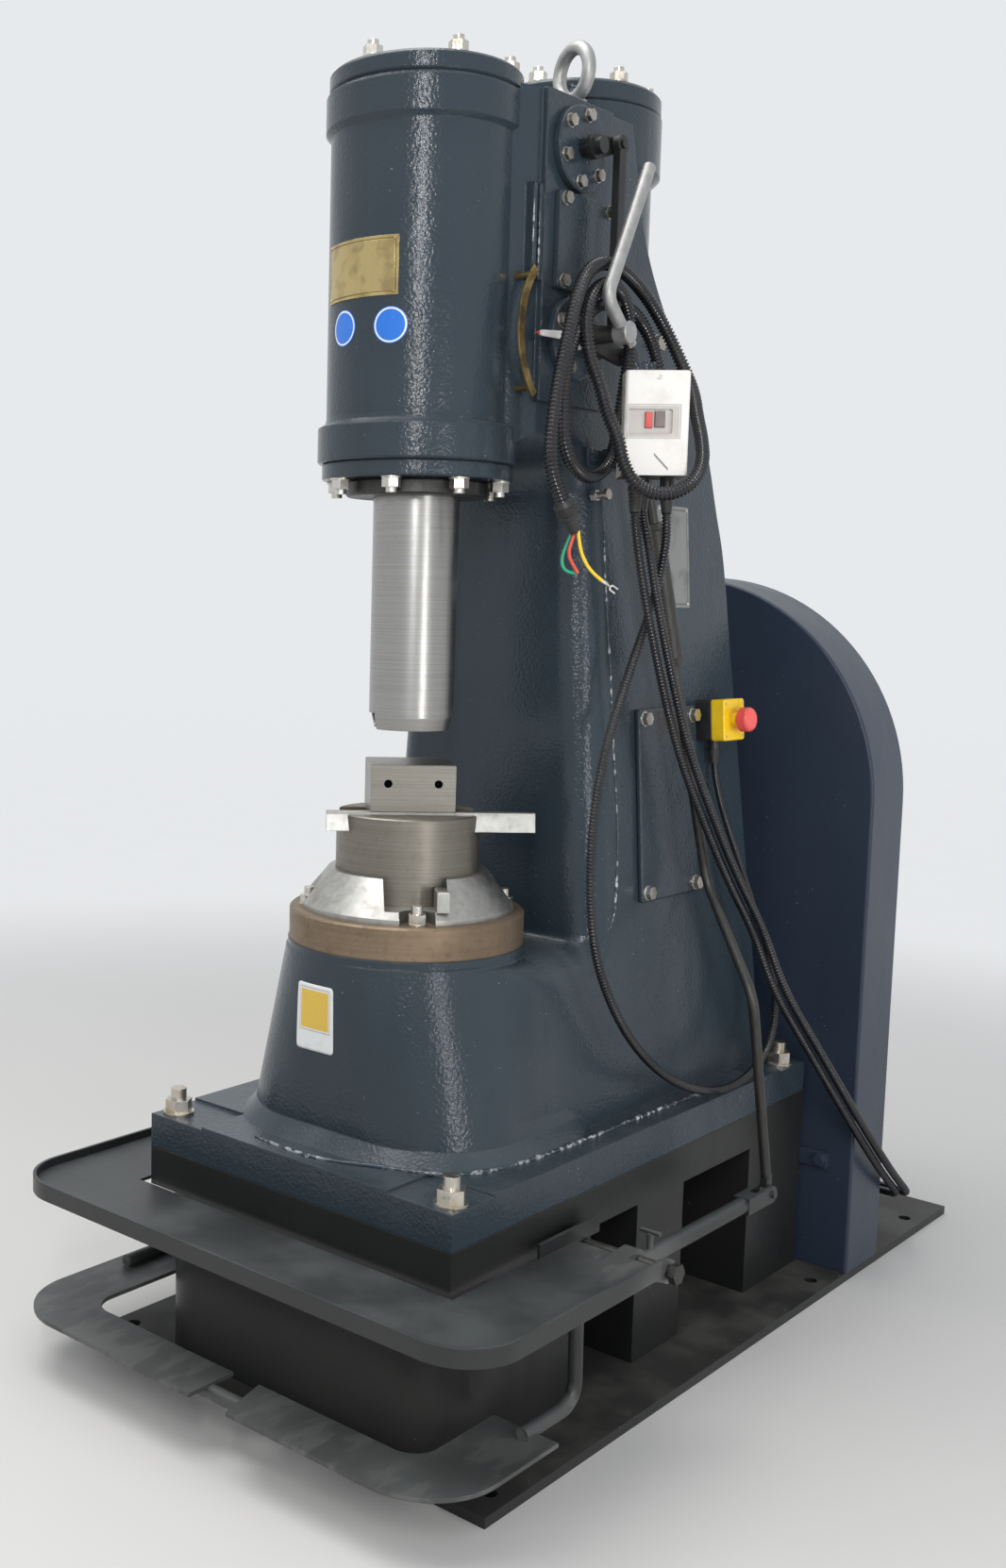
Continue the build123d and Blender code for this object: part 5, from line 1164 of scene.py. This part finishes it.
    def add_seams(self) -> None:
        """Lumpy enamel and filler beads along the column's corner, round the foot and by the rib.

        The bead's radius is a mean times one plus three sines of the distance along it, and it
        thins out at both ends.
        """
        bead = BeadEnamel("seam_enamel")
        front, rear = ([(self.rib_x_mm, y, z) for z in self.rib_z_mm] for y in self.rib_y_mm)
        for name, points, radius in (
            ("corner_seam", self.corner_seam_mm, self.corner_bead_r),
            ("foot_seam", self.foot_seam_mm, self.foot_bead_r),
            ("rib_enamel_front", front, self.rib_bead_r),
            ("rib_enamel_rear", rear, self.rib_bead_r),
        ):
            line, at = even_line(spline_line(name, points), self.bead_step)
            lump = sum(share * np.sin(at * pace + lead) for share, pace, lead in self.lumps)
            taper = np.clip(np.minimum(at, at[-1] - at) / self.bead_taper, 0.25, 1.0)
            shell = tube_shell(line, radius * (1 + lump) * taper, 10)
            add_piece(name, shell, bead, "frame", None)


@dataclass
class Shoulder:
    """Cast blends that carry the round pedestal into the column's two flanks.

    A pair of values holds at the pedestal's foot and at its top, and changes evenly between them.
    """

    pedestal_z_mm: tuple[float, float] = (407.0, 656.0)
    arc_front_mm: tuple[float, float] = (-23.0, -6.0)
    arc_rear_mm: tuple[float, float] = (110.0, 6.0)
    arc_x_mm: tuple[float, float] = (79.0, 6.0)
    arc_r_mm: tuple[float, float] = (150.0, 172.5)
    corner_z_mm: float = 604.0
    corner_x_mm: float = 161.0
    corner_r_mm: float = 52.0
    low_z_mm: float = 419.0
    high_z_mm: float = 651.0
    front_y_mm: float = -72.0
    full_y_mm: float = 56.0
    rear_y_mm: float = 86.0
    rim_mm: float = 24.0
    dip_mm: float = 0.6
    lift_mm: float = 0.85
    sunk_mm: float = 7.0

    def pedestal_x(self, y: Array, z: Array) -> Array:
        """Side of the pedestal: at each height a straight run between two arcs.

        Args:
            y: places along Y, in mm.
            z: heights, in mm.

        Returns:
            Distances from the middle plane, in mm.
        """
        front, rear, middle, radius = (
            np.interp(z, self.pedestal_z_mm, pair)
            for pair in (self.arc_front_mm, self.arc_rear_mm, self.arc_x_mm, self.arc_r_mm)
        )
        past = np.maximum(front - y, 0.0) + np.maximum(y - rear, 0.0)
        return middle + np.sqrt(radius**2 - past**2)

    def column_x(self, z: Array) -> Array:
        """Side of the column: its leaning flank or, higher, its rounded corner.

        Args:
            z: heights, in mm.

        Returns:
            Distances from the middle plane, in mm.
        """
        above = np.maximum(z - self.corner_z_mm, 0.0)
        corner = self.corner_x_mm + np.sqrt(np.maximum(self.corner_r_mm**2 - above**2, 0.0))
        return np.where(above > 0.0, np.minimum(flank_x(z), corner), flank_x(z))

    def build(self) -> None:
        """Goes from pedestal to column with a smooth step along Y.

        The step is 10 t^3 - 15 t^4 + 6 t^5. The blend dips under both surfaces at its rims, and
        the way back runs inside the casting.
        """
        heights = np.linspace(self.low_z_mm, self.high_z_mm, 48)
        places = np.linspace(self.front_y_mm, self.rear_y_mm, 40)
        z, y = np.meshgrid(heights, places, indexing="ij")
        pedestal, column = self.pedestal_x(y, z), self.column_x(z)
        step = np.clip((y - self.front_y_mm) / (self.full_y_mm - self.front_y_mm), 0.0, 1.0)
        blend = step**3 * (10.0 - 15.0 * step + 6.0 * step**2)
        low_rim = np.clip((z - self.low_z_mm) / self.rim_mm, 0.0, 1.0)
        rear_rim = np.clip((self.rear_y_mm - y) / self.rim_mm, 0.0, 1.0)
        lift = self.lift_mm * low_rim * rear_rim * blend - self.dip_mm
        side = pedestal + np.maximum(column - pedestal, 0.0) * blend + lift
        outer = np.stack([side, y, z], -1)
        inner = np.stack([pedestal - self.sunk_mm, y, z], -1)[:, ::-1]
        right = np.concatenate([outer, inner], 1) * 0.001
        left = (right * (-1.0, 1.0, 1.0))[:, ::-1]
        shell = joined([grid_shell(right), grid_shell(left)])
        add_piece("pedestal_shoulder", shell, SLATE, "frame", 60.0)


@dataclass
class GroundBase:
    """Ground plate, box base and the four foundation nuts."""

    def dress(self) -> None:
        """Black enamel, dustier on the ground plate."""
        BASE_BLACK.dress("base_box", "motor_stand")
        PLATE_BLACK.dress("base_plate")
        zinc = ZincPlate("foundation_zinc", colour=(0.58, 0.56, 0.52), warm=(0.50, 0.43, 0.32))
        zinc.dress("foundation_nuts")


@dataclass
class RamGear:
    """Ram, gland and the driving gear inside the frame."""

    def dress(self) -> None:
        """Ground ram, oiled gland ring, plain inner iron."""
        RAM_STEEL.dress("ram")
        DARK_ROD.dress("gland_ring")
        INNER_IRON.dress("comp_piston", "connecting_rod", "crankshaft", "flywheel", "motor_pulley")
        RUBBER.dress("v_belts")


@dataclass
class AnvilStack:
    """Retaining ring, collar, wedge, sow block and bottom die."""

    def dress(self) -> None:
        """Each piece of the stack in its own metal."""
        RING_IRON.dress("anvil_ring")
        GALVANISED.dress("ring_nuts")
        COLLAR_STEEL.dress("collar", "collar_wedge", "die_key")
        SOW_IRON.dress("sow_block")
        DIE_STEEL.dress("bottom_die")


@dataclass
class ValveGear:
    """Lever, spindles, link, pointer, quadrant and the treadle's rod."""

    def dress(self) -> None:
        """Dull steel lever, dark rods, aged brass quadrant."""
        LEVER_STEEL.dress("hand_lever")
        DARK_ROD.dress("treadle_rod", "lower_spindle")
        BASE_BLACK.dress("link_rod", "upper_spindle")
        VALVE_ZINC.dress("valve_bolts")
        AgedBrass("quadrant_brass", gilt_from=1.585, gilt_to=1.640).dress("quadrant")
        PointerPaint("pointer_paint").dress("pointer")


@dataclass
class BeltDrive:
    """Guard, its bracket and the motor."""

    def dress(self) -> None:
        """Blue guard enamel and the motor's paler paint."""
        GUARD_BLUE.dress("belt_guard", "guard_bracket")
        MOTOR_BLUE.dress("motor")


@dataclass
class Treadle:
    """Treadle frame with its tray and foot plates."""

    def dress(self) -> None:
        """Dusty black tray, dark pins."""
        TreadleWear("treadle_wear").dress("treadle")
        DARK_ROD.dress("treadle_pins")


@dataclass
class StarterStation:
    """Starter box on the flank, with its buttons, cover screw and conduit glands."""

    screw_at_mm: Spot = (2.0, 41.4, 64.0)
    screw_profile_mm: tuple[tuple[float, float], ...] = (
        (0, 3.6), (0.8, 3.6), (1.2, 3.2), (1.2, 0.9), (0.3, 0.8),
    )

    def dress(self) -> None:
        """Shell, buttons and the screw at the top of the cover."""
        StarterShell("starter_shell").dress("starter_box")
        Moulded("start_red", (0.62, 0.085, 0.075), (0.50, 0.06, 0.06), 0.32).dress("starter_red_button")
        Moulded("start_grey", (0.165, 0.125, 0.12), (0.22, 0.17, 0.16), 0.36).dress("starter_black_button")
        ways = np.array([STARTER_ACROSS, STARTER_OUT, (0.0, 0.0, 1.0)])
        spot = np.array(STARTER_MIDDLE_MM) + np.array(self.screw_at_mm) @ ways
        screw = turned_shell(spot, STARTER_OUT, self.screw_profile_mm, 18)
        add_piece("starter_screw", screw, GALVANISED, "frame")


@dataclass
class StopStation:
    """Stop box with its mushroom button and lid screws."""

    face_mm: Spot = (238.98, 545.0, 988.53)
    corner_mm: float = 27.0
    sunk_mm: float = 0.3
    head_mm: tuple[float, float] = (2.6, 0.7)

    def dress(self) -> None:
        """Two-colour shell, red button and four lid screws."""
        StopShell("stop_shell").dress("estop_box")
        Moulded("stop_red", (0.66, 0.035, 0.030), (0.55, 0.03, 0.026), 0.30, 0.1).dress("estop_button")
        out, along, up = np.array([FLANK_OUT, (0.0, 1.0, 0.0), (-FLANK_OUT[2], 0.0, FLANK_OUT[0])])
        middle = np.array(self.face_mm) - self.sunk_mm * out
        corners = [(side, rise) for side in (-1, 1) for rise in (-1, 1)]
        spots = [middle + self.corner_mm * (side * along + rise * up) for side, rise in corners]
        shell = dome_shells(spots, [out] * 4, *self.head_mm)
        add_piece("stop_screws", shell, GALVANISED, "frame")


class FarEnd(Enum):
    OBJECT = "object"
    FITTING = "fitting"
    BARE = "bare"


@dataclass
class CordRun:
    """One free cord: its route's control points in mm, its size and what it stands for."""

    name: str
    route_mm: Sequence[Sequence[float]]
    diameter: float
    length: float
    far_end: FarEnd
    nodes: tuple[str, ...]
    slot: str
    finish: Finish
    lay: str = "hanging"
    stiffness: str = "medium"
    rib: float = 0.0
    smooth_from: float = 2.0
    valley_share: float = 0.76
    smooth_share: float = 0.80
    plain_step: float = 0.0015
    sides: int = 12

    def radii(self, at: Array) -> Array:
        """Radius at each distance along the cord.

        A rib is two crest rings and two valley rings a quarter pitch apart. Past smooth_from, a
        share of the length, the radius is the same share of the crest's all along.

        Args:
            at: distances along the cord.

        Returns:
            The radii.
        """
        crest = np.full(len(at), self.diameter / 2)
        if not self.rib:
            return crest
        valley = np.arange(len(at)) % 4 >= 2
        share = at / at[-1]
        ribbed = np.where(valley, self.valley_share, 1.0)
        return crest * np.where(share > self.smooth_from, self.smooth_share, ribbed)

    def build(self, with_pieces: Sequence[bpy.types.Object] = ()) -> bpy.types.Object:
        """Args:
            with_pieces: reliefs and fittings that go with the cord; not used.

        Returns:
            The cord.
        """
        step = self.rib / 4 if self.rib else self.plain_step
        line, at = even_line(spline_line(self.name, self.route_mm), step)
        skin = tube_shell(line, self.radii(at), self.sides)
        cord = add_piece(self.name, skin, self.finish, "frame", None)
        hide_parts(*self.nodes)
        LOG.info("%s: line %.3f m", self.name, at[-1])
        return cord


@dataclass
class Cords:
    """Every conduit and wire, with the reliefs and the connector on them."""

    gland_a_mm: Spot = (250.4, 194.3, 1337.0)
    gland_b_mm: Spot = (242.0, 227.2, 1337.0)
    gland_c_mm: Spot = (280.9, 231.3, 1337.0)
    motor_a_mm: Spot = (131.0, 1014.0, 212.0)
    motor_b_mm: Spot = (131.0, 1054.0, 212.0)
    stop_end_mm: Spot = (204.5, 545.0, 936.1)
    pair_step_mm: Spot = (13.0, 9.0, 4.0)
    tail_end_mm: Spot = (232.0, 36.0, 1313.0)
    tail_heading: Spot = (0.0905, 0.5731, -0.8144)
    motor_route_mm: tuple[Spot, ...] = (
        (250, 205, 1264), (254, 222, 1195), (262, 246, 1110), (268, 282, 1015), (273, 324, 930),
        (283, 379, 840), (295, 438, 746), (310, 513, 646), (335, 538, 553), (365, 606, 451),
        (397, 674, 346), (405, 770, 250), (404, 872, 165),
    )
    turn_a_mm: tuple[Spot, ...] = (
        (392, 965, 108), (335, 1028, 84), (258, 1040, 78), (190, 1030, 96), (148, 1019, 135),
    )
    turn_b_mm: tuple[Spot, ...] = (
        (405, 980, 108), (345, 1054, 84), (262, 1070, 78), (192, 1064, 96), (150, 1057, 135),
    )
    stop_route_mm: tuple[Spot, ...] = (
        (275, 246, 1272), (262, 257, 1228), (247, 264, 1182), (237, 255, 1135), (236, 232, 1094),
        (239, 204, 1052), (243, 168, 1000), (245, 138, 935), (247, 118, 850), (251, 112, 760),
        (258, 118, 670), (266, 152, 590), (275, 215, 508), (289, 300, 441), (299, 410, 399),
        (304, 520, 398), (301, 610, 440), (292, 641, 515), (281, 618, 605), (266, 580, 690),
        (249, 553, 770), (229, 543, 830), (214, 544, 876), (206.4, 545, 908.1),
    )
    supply_route_mm: tuple[Spot, ...] = (
        (250, 262, 1462), (241, 268, 1506), (231, 258, 1556), (224, 228, 1590), (221, 190, 1602),
        (219, 150, 1602), (218, 112, 1588), (218, 80, 1558), (218, 58, 1518), (218, 49, 1468),
        (219, 49, 1418), (219, 58, 1385), (220, 82, 1361), (221, 115, 1352), (222, 148, 1361),
        (223, 172, 1385), (224, 182, 1420), (226, 190, 1470), (228, 198, 1520), (229, 198, 1560),
        (230, 188, 1594), (230, 168, 1616), (230, 138, 1624), (230, 108, 1616), (230, 86, 1592),
        (231, 78, 1560), (235, 84, 1516), (246, 98, 1478), (252, 108, 1440), (266, 118, 1406),
        (271, 124, 1372), (282, 135, 1345), (300, 156, 1330), (321, 180, 1330), (336, 207, 1347),
        (336, 234, 1375), (319, 257, 1412), (299, 275, 1448), (284, 290, 1482), (264, 296, 1518),
        (243, 276, 1574), (232, 226, 1626), (228, 148, 1656), (228, 86, 1640), (229, 54, 1588),
        (230, 36, 1532), (230, 19, 1480), (230, 9, 1430), (229, 5, 1380), (229, 17, 1340),
        (232, 36, 1313),
    )
    conduit_d: float = 0.014
    conduit_rib: float = 0.0052
    supply_d: float = 0.020
    supply_rib: float = 0.0056
    wire_d: float = 0.005
    wire_root_mm: Spot = (236.34, 63.51, 1273.9)
    wire_across: Spot = (0.737, 0.676, 0.0)
    wire_layer: Spot = (-0.676, 0.737, 0.0)
    relief_r_mm: tuple[float, float] = (10.4, 8.0)
    relief_neck_mm: tuple[float, float] = (0.6, 7.2)
    relief_groove_mm: float = 0.7
    relief_rings: int = 25
    connector_mm: tuple[tuple[float, float], ...] = (
        (-3.0, 10.6), (0.0, 13.0), (3.0, 15.2), (6.0, 15.2), (6.6, 14.2), (8.4, 14.2), (9.0, 15.2),
        (11.4, 15.2), (12.0, 14.2), (13.8, 14.2), (14.4, 15.2), (17.0, 15.0), (19.0, 13.4), (26.0, 13.0),
        (27.0, 11.8), (33.0, 11.4), (34.0, 10.2), (44.0, 9.2), (48.0, 8.0),
    )
    barrel_profile_mm: tuple[tuple[float, float], ...] = ((0, 2.9), (1, 3.1), (8, 3.1), (9, 2.0), (12, 1.6))
    bow_at_mm: float = 14.5
    bow_r_mm: float = 3.6
    prong_mm: float = 7.5
    fork_r: float = 0.0013
    fork_flat: float = 0.6
    green_bends_mm: tuple[tuple[float, float], ...] = (
        (-3, 2), (-10, -16), (-17, -35), (-16, -50), (-5, -58), (6, -58),
    )
    red_bends_mm: tuple[tuple[float, float], ...] = ((0, 2), (-4, -12), (-9, -28), (-5, -42), (6, -58))
    yellow_bends_mm: tuple[tuple[float, float], ...] = ((3, 2), (5, -16), (11, -37), (25, -58), (42, -70))
    wire_pitch_mm: float = 5.2

    def relief(self, name: str, at: Spot, heading: Spot, long: float = 30.0) -> bpy.types.Object:
        """Ribbed strain relief that narrows along the cord.

        Args:
            name: the piece's name.
            at: where the cord leaves its gland, in mm.
            heading: the cord's direction there.
            long: length, in mm.

        Returns:
            The relief.
        """
        wide, narrow = self.relief_r_mm
        rings = np.arange(self.relief_rings)
        steps = np.linspace(0, long, len(rings))
        radius = wide - (wide - narrow) * steps / long - np.where(rings % 4 < 2, 0.0, self.relief_groove_mm)
        over, neck = self.relief_neck_mm
        profile = [(-2.0, wide), *zip(steps, radius), (long + over, neck)]
        return add_piece(name, turned_shell(at, heading, profile, 20), GLAND_BLACK, "frame", 50.0)

    def down(self, spot: Spot, drop: float = 30.0) -> Spot:
        """Point straight below another, where a conduit leaves its gland."""
        return (spot[0], spot[1], spot[2] - drop)

    def build_conduits(self) -> None:
        """The two motor conduits and the stop cable, side by side down the flank."""
        black = CordSkin("conduit_skin")
        pair = [tuple(np.array(spot) + np.array(self.pair_step_mm)) for spot in self.motor_route_mm]
        for name, node, start, middle, turn, end, length in (
            (
                "motor_conduit_near", "motor_conduit_a", self.gland_a_mm, self.motor_route_mm,
                self.turn_a_mm, self.motor_a_mm, 1.872,
            ),
            (
                "motor_conduit_far", "motor_conduit_b", self.gland_b_mm, pair,
                self.turn_b_mm, self.motor_b_mm, 1.896,
            ),
        ):
            reliefs = [
                self.relief(name + "_relief", start, (0, 0, -1)),
                self.relief(name + "_motor_relief", end, (0, 0, -1)),
            ]
            CordRun(
                name, [start, self.down(start), *middle, *turn, self.down(end), end], self.conduit_d,
                length, FarEnd.OBJECT, (node,), "conduit_black", black, rib=self.conduit_rib,
            ).build(reliefs)
        reliefs = [
            self.relief("stop_cable_relief", self.gland_c_mm, (0, 0, -1)),
            self.relief("stop_cable_end_relief", self.stop_end_mm, (0.068, 0, -0.998), 22.0),
        ]
        CordRun(
            "stop_cable",
            [self.gland_c_mm, self.down(self.gland_c_mm), *self.stop_route_mm, self.stop_end_mm],
            self.conduit_d, 1.857, FarEnd.OBJECT, ("estop_cable",), "conduit_black", black,
            rib=self.conduit_rib, smooth_from=0.80,
        ).build(reliefs)

    def build_supply(self) -> None:
        """The supply conduit: two turns hung on the lever's spindle, a wide loop and a short tail."""
        shell = turned_shell(self.tail_end_mm, self.tail_heading, self.connector_mm, 28)
        fitting = add_piece("supply_connector", shell, GLAND_BLACK, "frame", 30.0)
        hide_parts("supply_fitting")
        CordRun(
            "supply_conduit", self.supply_route_mm, self.supply_d, 2.14, FarEnd.FITTING,
            ("supply_hank", "supply_loop", "supply_tail"), "conduit_black", CordSkin("supply_skin"), "coiled",
            rib=self.supply_rib, sides=16,
        ).build([fitting])

    def wire_route(self, layer: float, bends: Sequence[tuple[float, float]]) -> list[Array]:
        """Points of one wire from its (across, up) bends in the plane that faces the operator."""
        base = np.array(self.wire_root_mm) + layer * np.array(self.wire_layer)
        return [base + across * np.array(self.wire_across) + np.array([0.0, 0.0, up]) for across, up in bends]

    def fork_terminal(self, end: Array, heading: Array) -> bpy.types.Object:
        """Crimped barrel with a flat fork: half a ring and two straight prongs.

        Args:
            end: end of the wire, in mm.
            heading: the wire's direction there.

        Returns:
            The terminal.
        """
        side = unit(np.cross(heading, np.array(self.wire_layer)))
        barrel = turned_shell(end - heading * 3, heading, self.barrel_profile_mm, 16)
        turn = np.linspace(0, pi, 15)[:, None]
        bow = end + heading * self.bow_at_mm
        bow = bow + self.bow_r_mm * (np.cos(turn) * side - np.sin(turn) * heading)
        prong = heading * self.prong_mm
        line, at = even_line(np.concatenate([bow[:1] + prong, bow, bow[-1:] + prong]) * 0.001, 0.0008)
        fork = joined([barrel, tube_shell(line, np.full(len(at), self.fork_r), 8, self.fork_flat)])
        return add_piece("fork_terminal", fork, GALVANISED, "frame", 50.0)

    def build_wires(self) -> None:
        """Three insulated wires below the connector; the yellow one ends in a fork terminal."""
        for name, bends, side, length, colour, worn in (
            ("green", self.green_bends_mm, 1.0, 0.078, (0.020, 0.30, 0.17), (0.05, 0.40, 0.25)),
            ("red", self.red_bends_mm, 0.0, 0.065, (0.60, 0.075, 0.04), (0.70, 0.15, 0.08)),
            ("yellow", self.yellow_bends_mm, -1.0, 0.086, (0.78, 0.52, 0.02), (0.85, 0.62, 0.08)),
        ):
            route = self.wire_route(side * self.wire_pitch_mm, bends)
            forked = name == "yellow"
            with_pieces = [self.fork_terminal(route[-1], unit(route[-1] - route[-2]))] if forked else []
            CordRun(
                f"{name}_wire", route, self.wire_d, length, FarEnd.FITTING if forked else FarEnd.BARE,
                ("supply_wires",), "wire_colours", CordSkin(f"wire_{name}", colour, worn, 0.38),
                stiffness="limp", sides=14,
            ).build(with_pieces)


@dataclass(frozen=True)
class Lamp:
    """A rectangular soft lamp that faces a point; without glints, no surface mirrors it."""

    name: str
    at: Spot
    target: Spot
    size: tuple[float, float]
    watts: float
    tint: Colour = (1.0, 1.0, 1.0)
    glints: bool = True

    def hang(self) -> None:
        """Makes the lamp and turns it to its target."""
        data = bpy.data.lights.new(self.name, "AREA")
        data.shape = "RECTANGLE"
        data.size, data.size_y = self.size
        data.energy, data.color = self.watts, self.tint
        lamp = bpy.data.objects.new(self.name, data)
        lamp.visible_glossy = self.glints
        turn = (Vector(self.target) - Vector(self.at)).to_track_quat("-Z", "Y")
        lamp.matrix_world = Matrix.Translation(self.at) @ turn.to_matrix().to_4x4()
        bpy.context.scene.collection.objects.link(lamp)


@dataclass
class Studio:
    """Camera at the photograph's viewpoint, pale floor, soft lamps and a pale world."""

    eye_mm: Spot = (1513.31, -1860.08, 1176.83)
    yaw: float = 42.539
    pitch: float = -6.647
    roll: float = 1.010
    lens: float = 36.909
    sensor: float = 36.0
    shift: float = 0.1203
    clip: tuple[float, float] = (0.05, 80.0)
    floor_half: float = 14.0
    ambient: Colour = (0.36, 0.38, 0.41)
    backdrop: Colour = (0.80, 0.82, 0.84)
    lamps: tuple[Lamp, ...] = (
        Lamp("overhead", (-0.9, -0.6, 4.6), (0, 0.3, 0.6), (3.2, 3.2), 125.0, (1.0, 0.99, 0.97)),
        Lamp("strip", (2.05, -2.75, 2.55), (0, 0, 1.55), (0.16, 2.0), 50.0),
        Lamp("side_panel", (4.0, 0.2, 1.3), (0.2, 0.4, 0.8), (1.3, 2.4), 56.0, (0.97, 0.98, 1.0), False),
        Lamp("low_strip", (3.0, -1.2, 0.9), (0, 0, 0.55), (0.20, 1.2), 14.0),
        Lamp("left_panel", (-2.9, -1.6, 1.9), (0, 0, 1.1), (1.4, 2.2), 20.0, glints=False),
    )

    def add_camera(self) -> None:
        """The view: heading from yaw and pitch, then turned about it by the roll."""
        yaw, pitch, roll = radians(self.yaw), radians(self.pitch), radians(self.roll)
        ahead = Vector((-sin(yaw) * cos(pitch), cos(yaw) * cos(pitch), sin(pitch)))
        right = ahead.cross(Vector((0, 0, 1))).normalized()
        up = right.cross(ahead)
        tilted_right = right * cos(roll) + up * sin(roll)
        tilted_up = up * cos(roll) - right * sin(roll)
        data = bpy.data.cameras.new("studio_camera")
        data.lens, data.sensor_width, data.shift_x = self.lens, self.sensor, self.shift
        data.clip_start, data.clip_end = self.clip
        camera = bpy.data.objects.new("studio_camera", data)
        turn = Matrix((tilted_right, tilted_up, -ahead)).transposed().to_4x4()
        camera.matrix_world = Matrix.Translation(Vector(self.eye_mm) * 0.001) @ turn
        bpy.context.scene.collection.objects.link(camera)
        bpy.context.scene.camera = camera

    def add_floor(self) -> None:
        """A wide plane at the height of the ground plate's underside."""
        span = np.linspace(-self.floor_half, self.floor_half, 9)
        u, v = np.meshgrid(span, span)
        shell = grid_shell(np.stack([u, v, 0 * u], -1), wrap=False, caps=False)
        mesh = bpy.data.meshes.new("studio_floor")
        mesh.from_pydata(shell.points.tolist(), [], shell.faces)
        mesh.materials.append(PaleConcrete("studio_floor").material())
        floor = bpy.data.objects.new("studio_floor", mesh)
        bpy.context.scene.collection.objects.link(floor)

    def add_light(self) -> None:
        """The lamps, and a world whose backdrop only the camera, mirrors and glass see."""
        for lamp in self.lamps:
            lamp.hang()
        world = bpy.data.worlds.new("studio_world")
        world.use_nodes = True
        sheet = FinishSheet(world.node_tree)
        path = sheet.node("ShaderNodeLightPath").socket.node
        seen = Term(sheet, path.outputs["Is Camera Ray"]) + Term(sheet, path.outputs["Is Glossy Ray"])
        seen = (seen + Term(sheet, path.outputs["Is Transmission Ray"])).at_most(1.0)
        tone = sheet.mix(seen, self.ambient, self.backdrop)
        shade = sheet.node("ShaderNodeBackground", {}, {"Color": tone, "Strength": 1.0})
        sheet.node("ShaderNodeOutputWorld", {}, {"Surface": shade})
        bpy.context.scene.world = world
        bpy.context.scene.view_settings.view_transform = "Standard"


def main() -> None:
    """Builds the studio and every sub-assembly in order."""
    logging.basicConfig(level=logging.INFO, format="%(name)s: %(message)s")
    studio = Studio()
    studio.add_camera()
    studio.add_floor()
    studio.add_light()
    cords = Cords()
    cords.build_conduits()
    cords.build_supply()
    cords.build_wires()
    casting = Casting()
    casting.dress()
    casting.add_rivets()
    casting.add_discs()
    casting.add_sign()
    Shoulder().build()
    casting.add_seams()
    for group in (
        GroundBase(), RamGear(), AnvilStack(), ValveGear(), BeltDrive(), Treadle(), StarterStation(),
        StopStation(),
    ):
        group.dress()
        LOG.info("dressed %s", type(group).__name__)


if __name__ == "__main__":
    main()
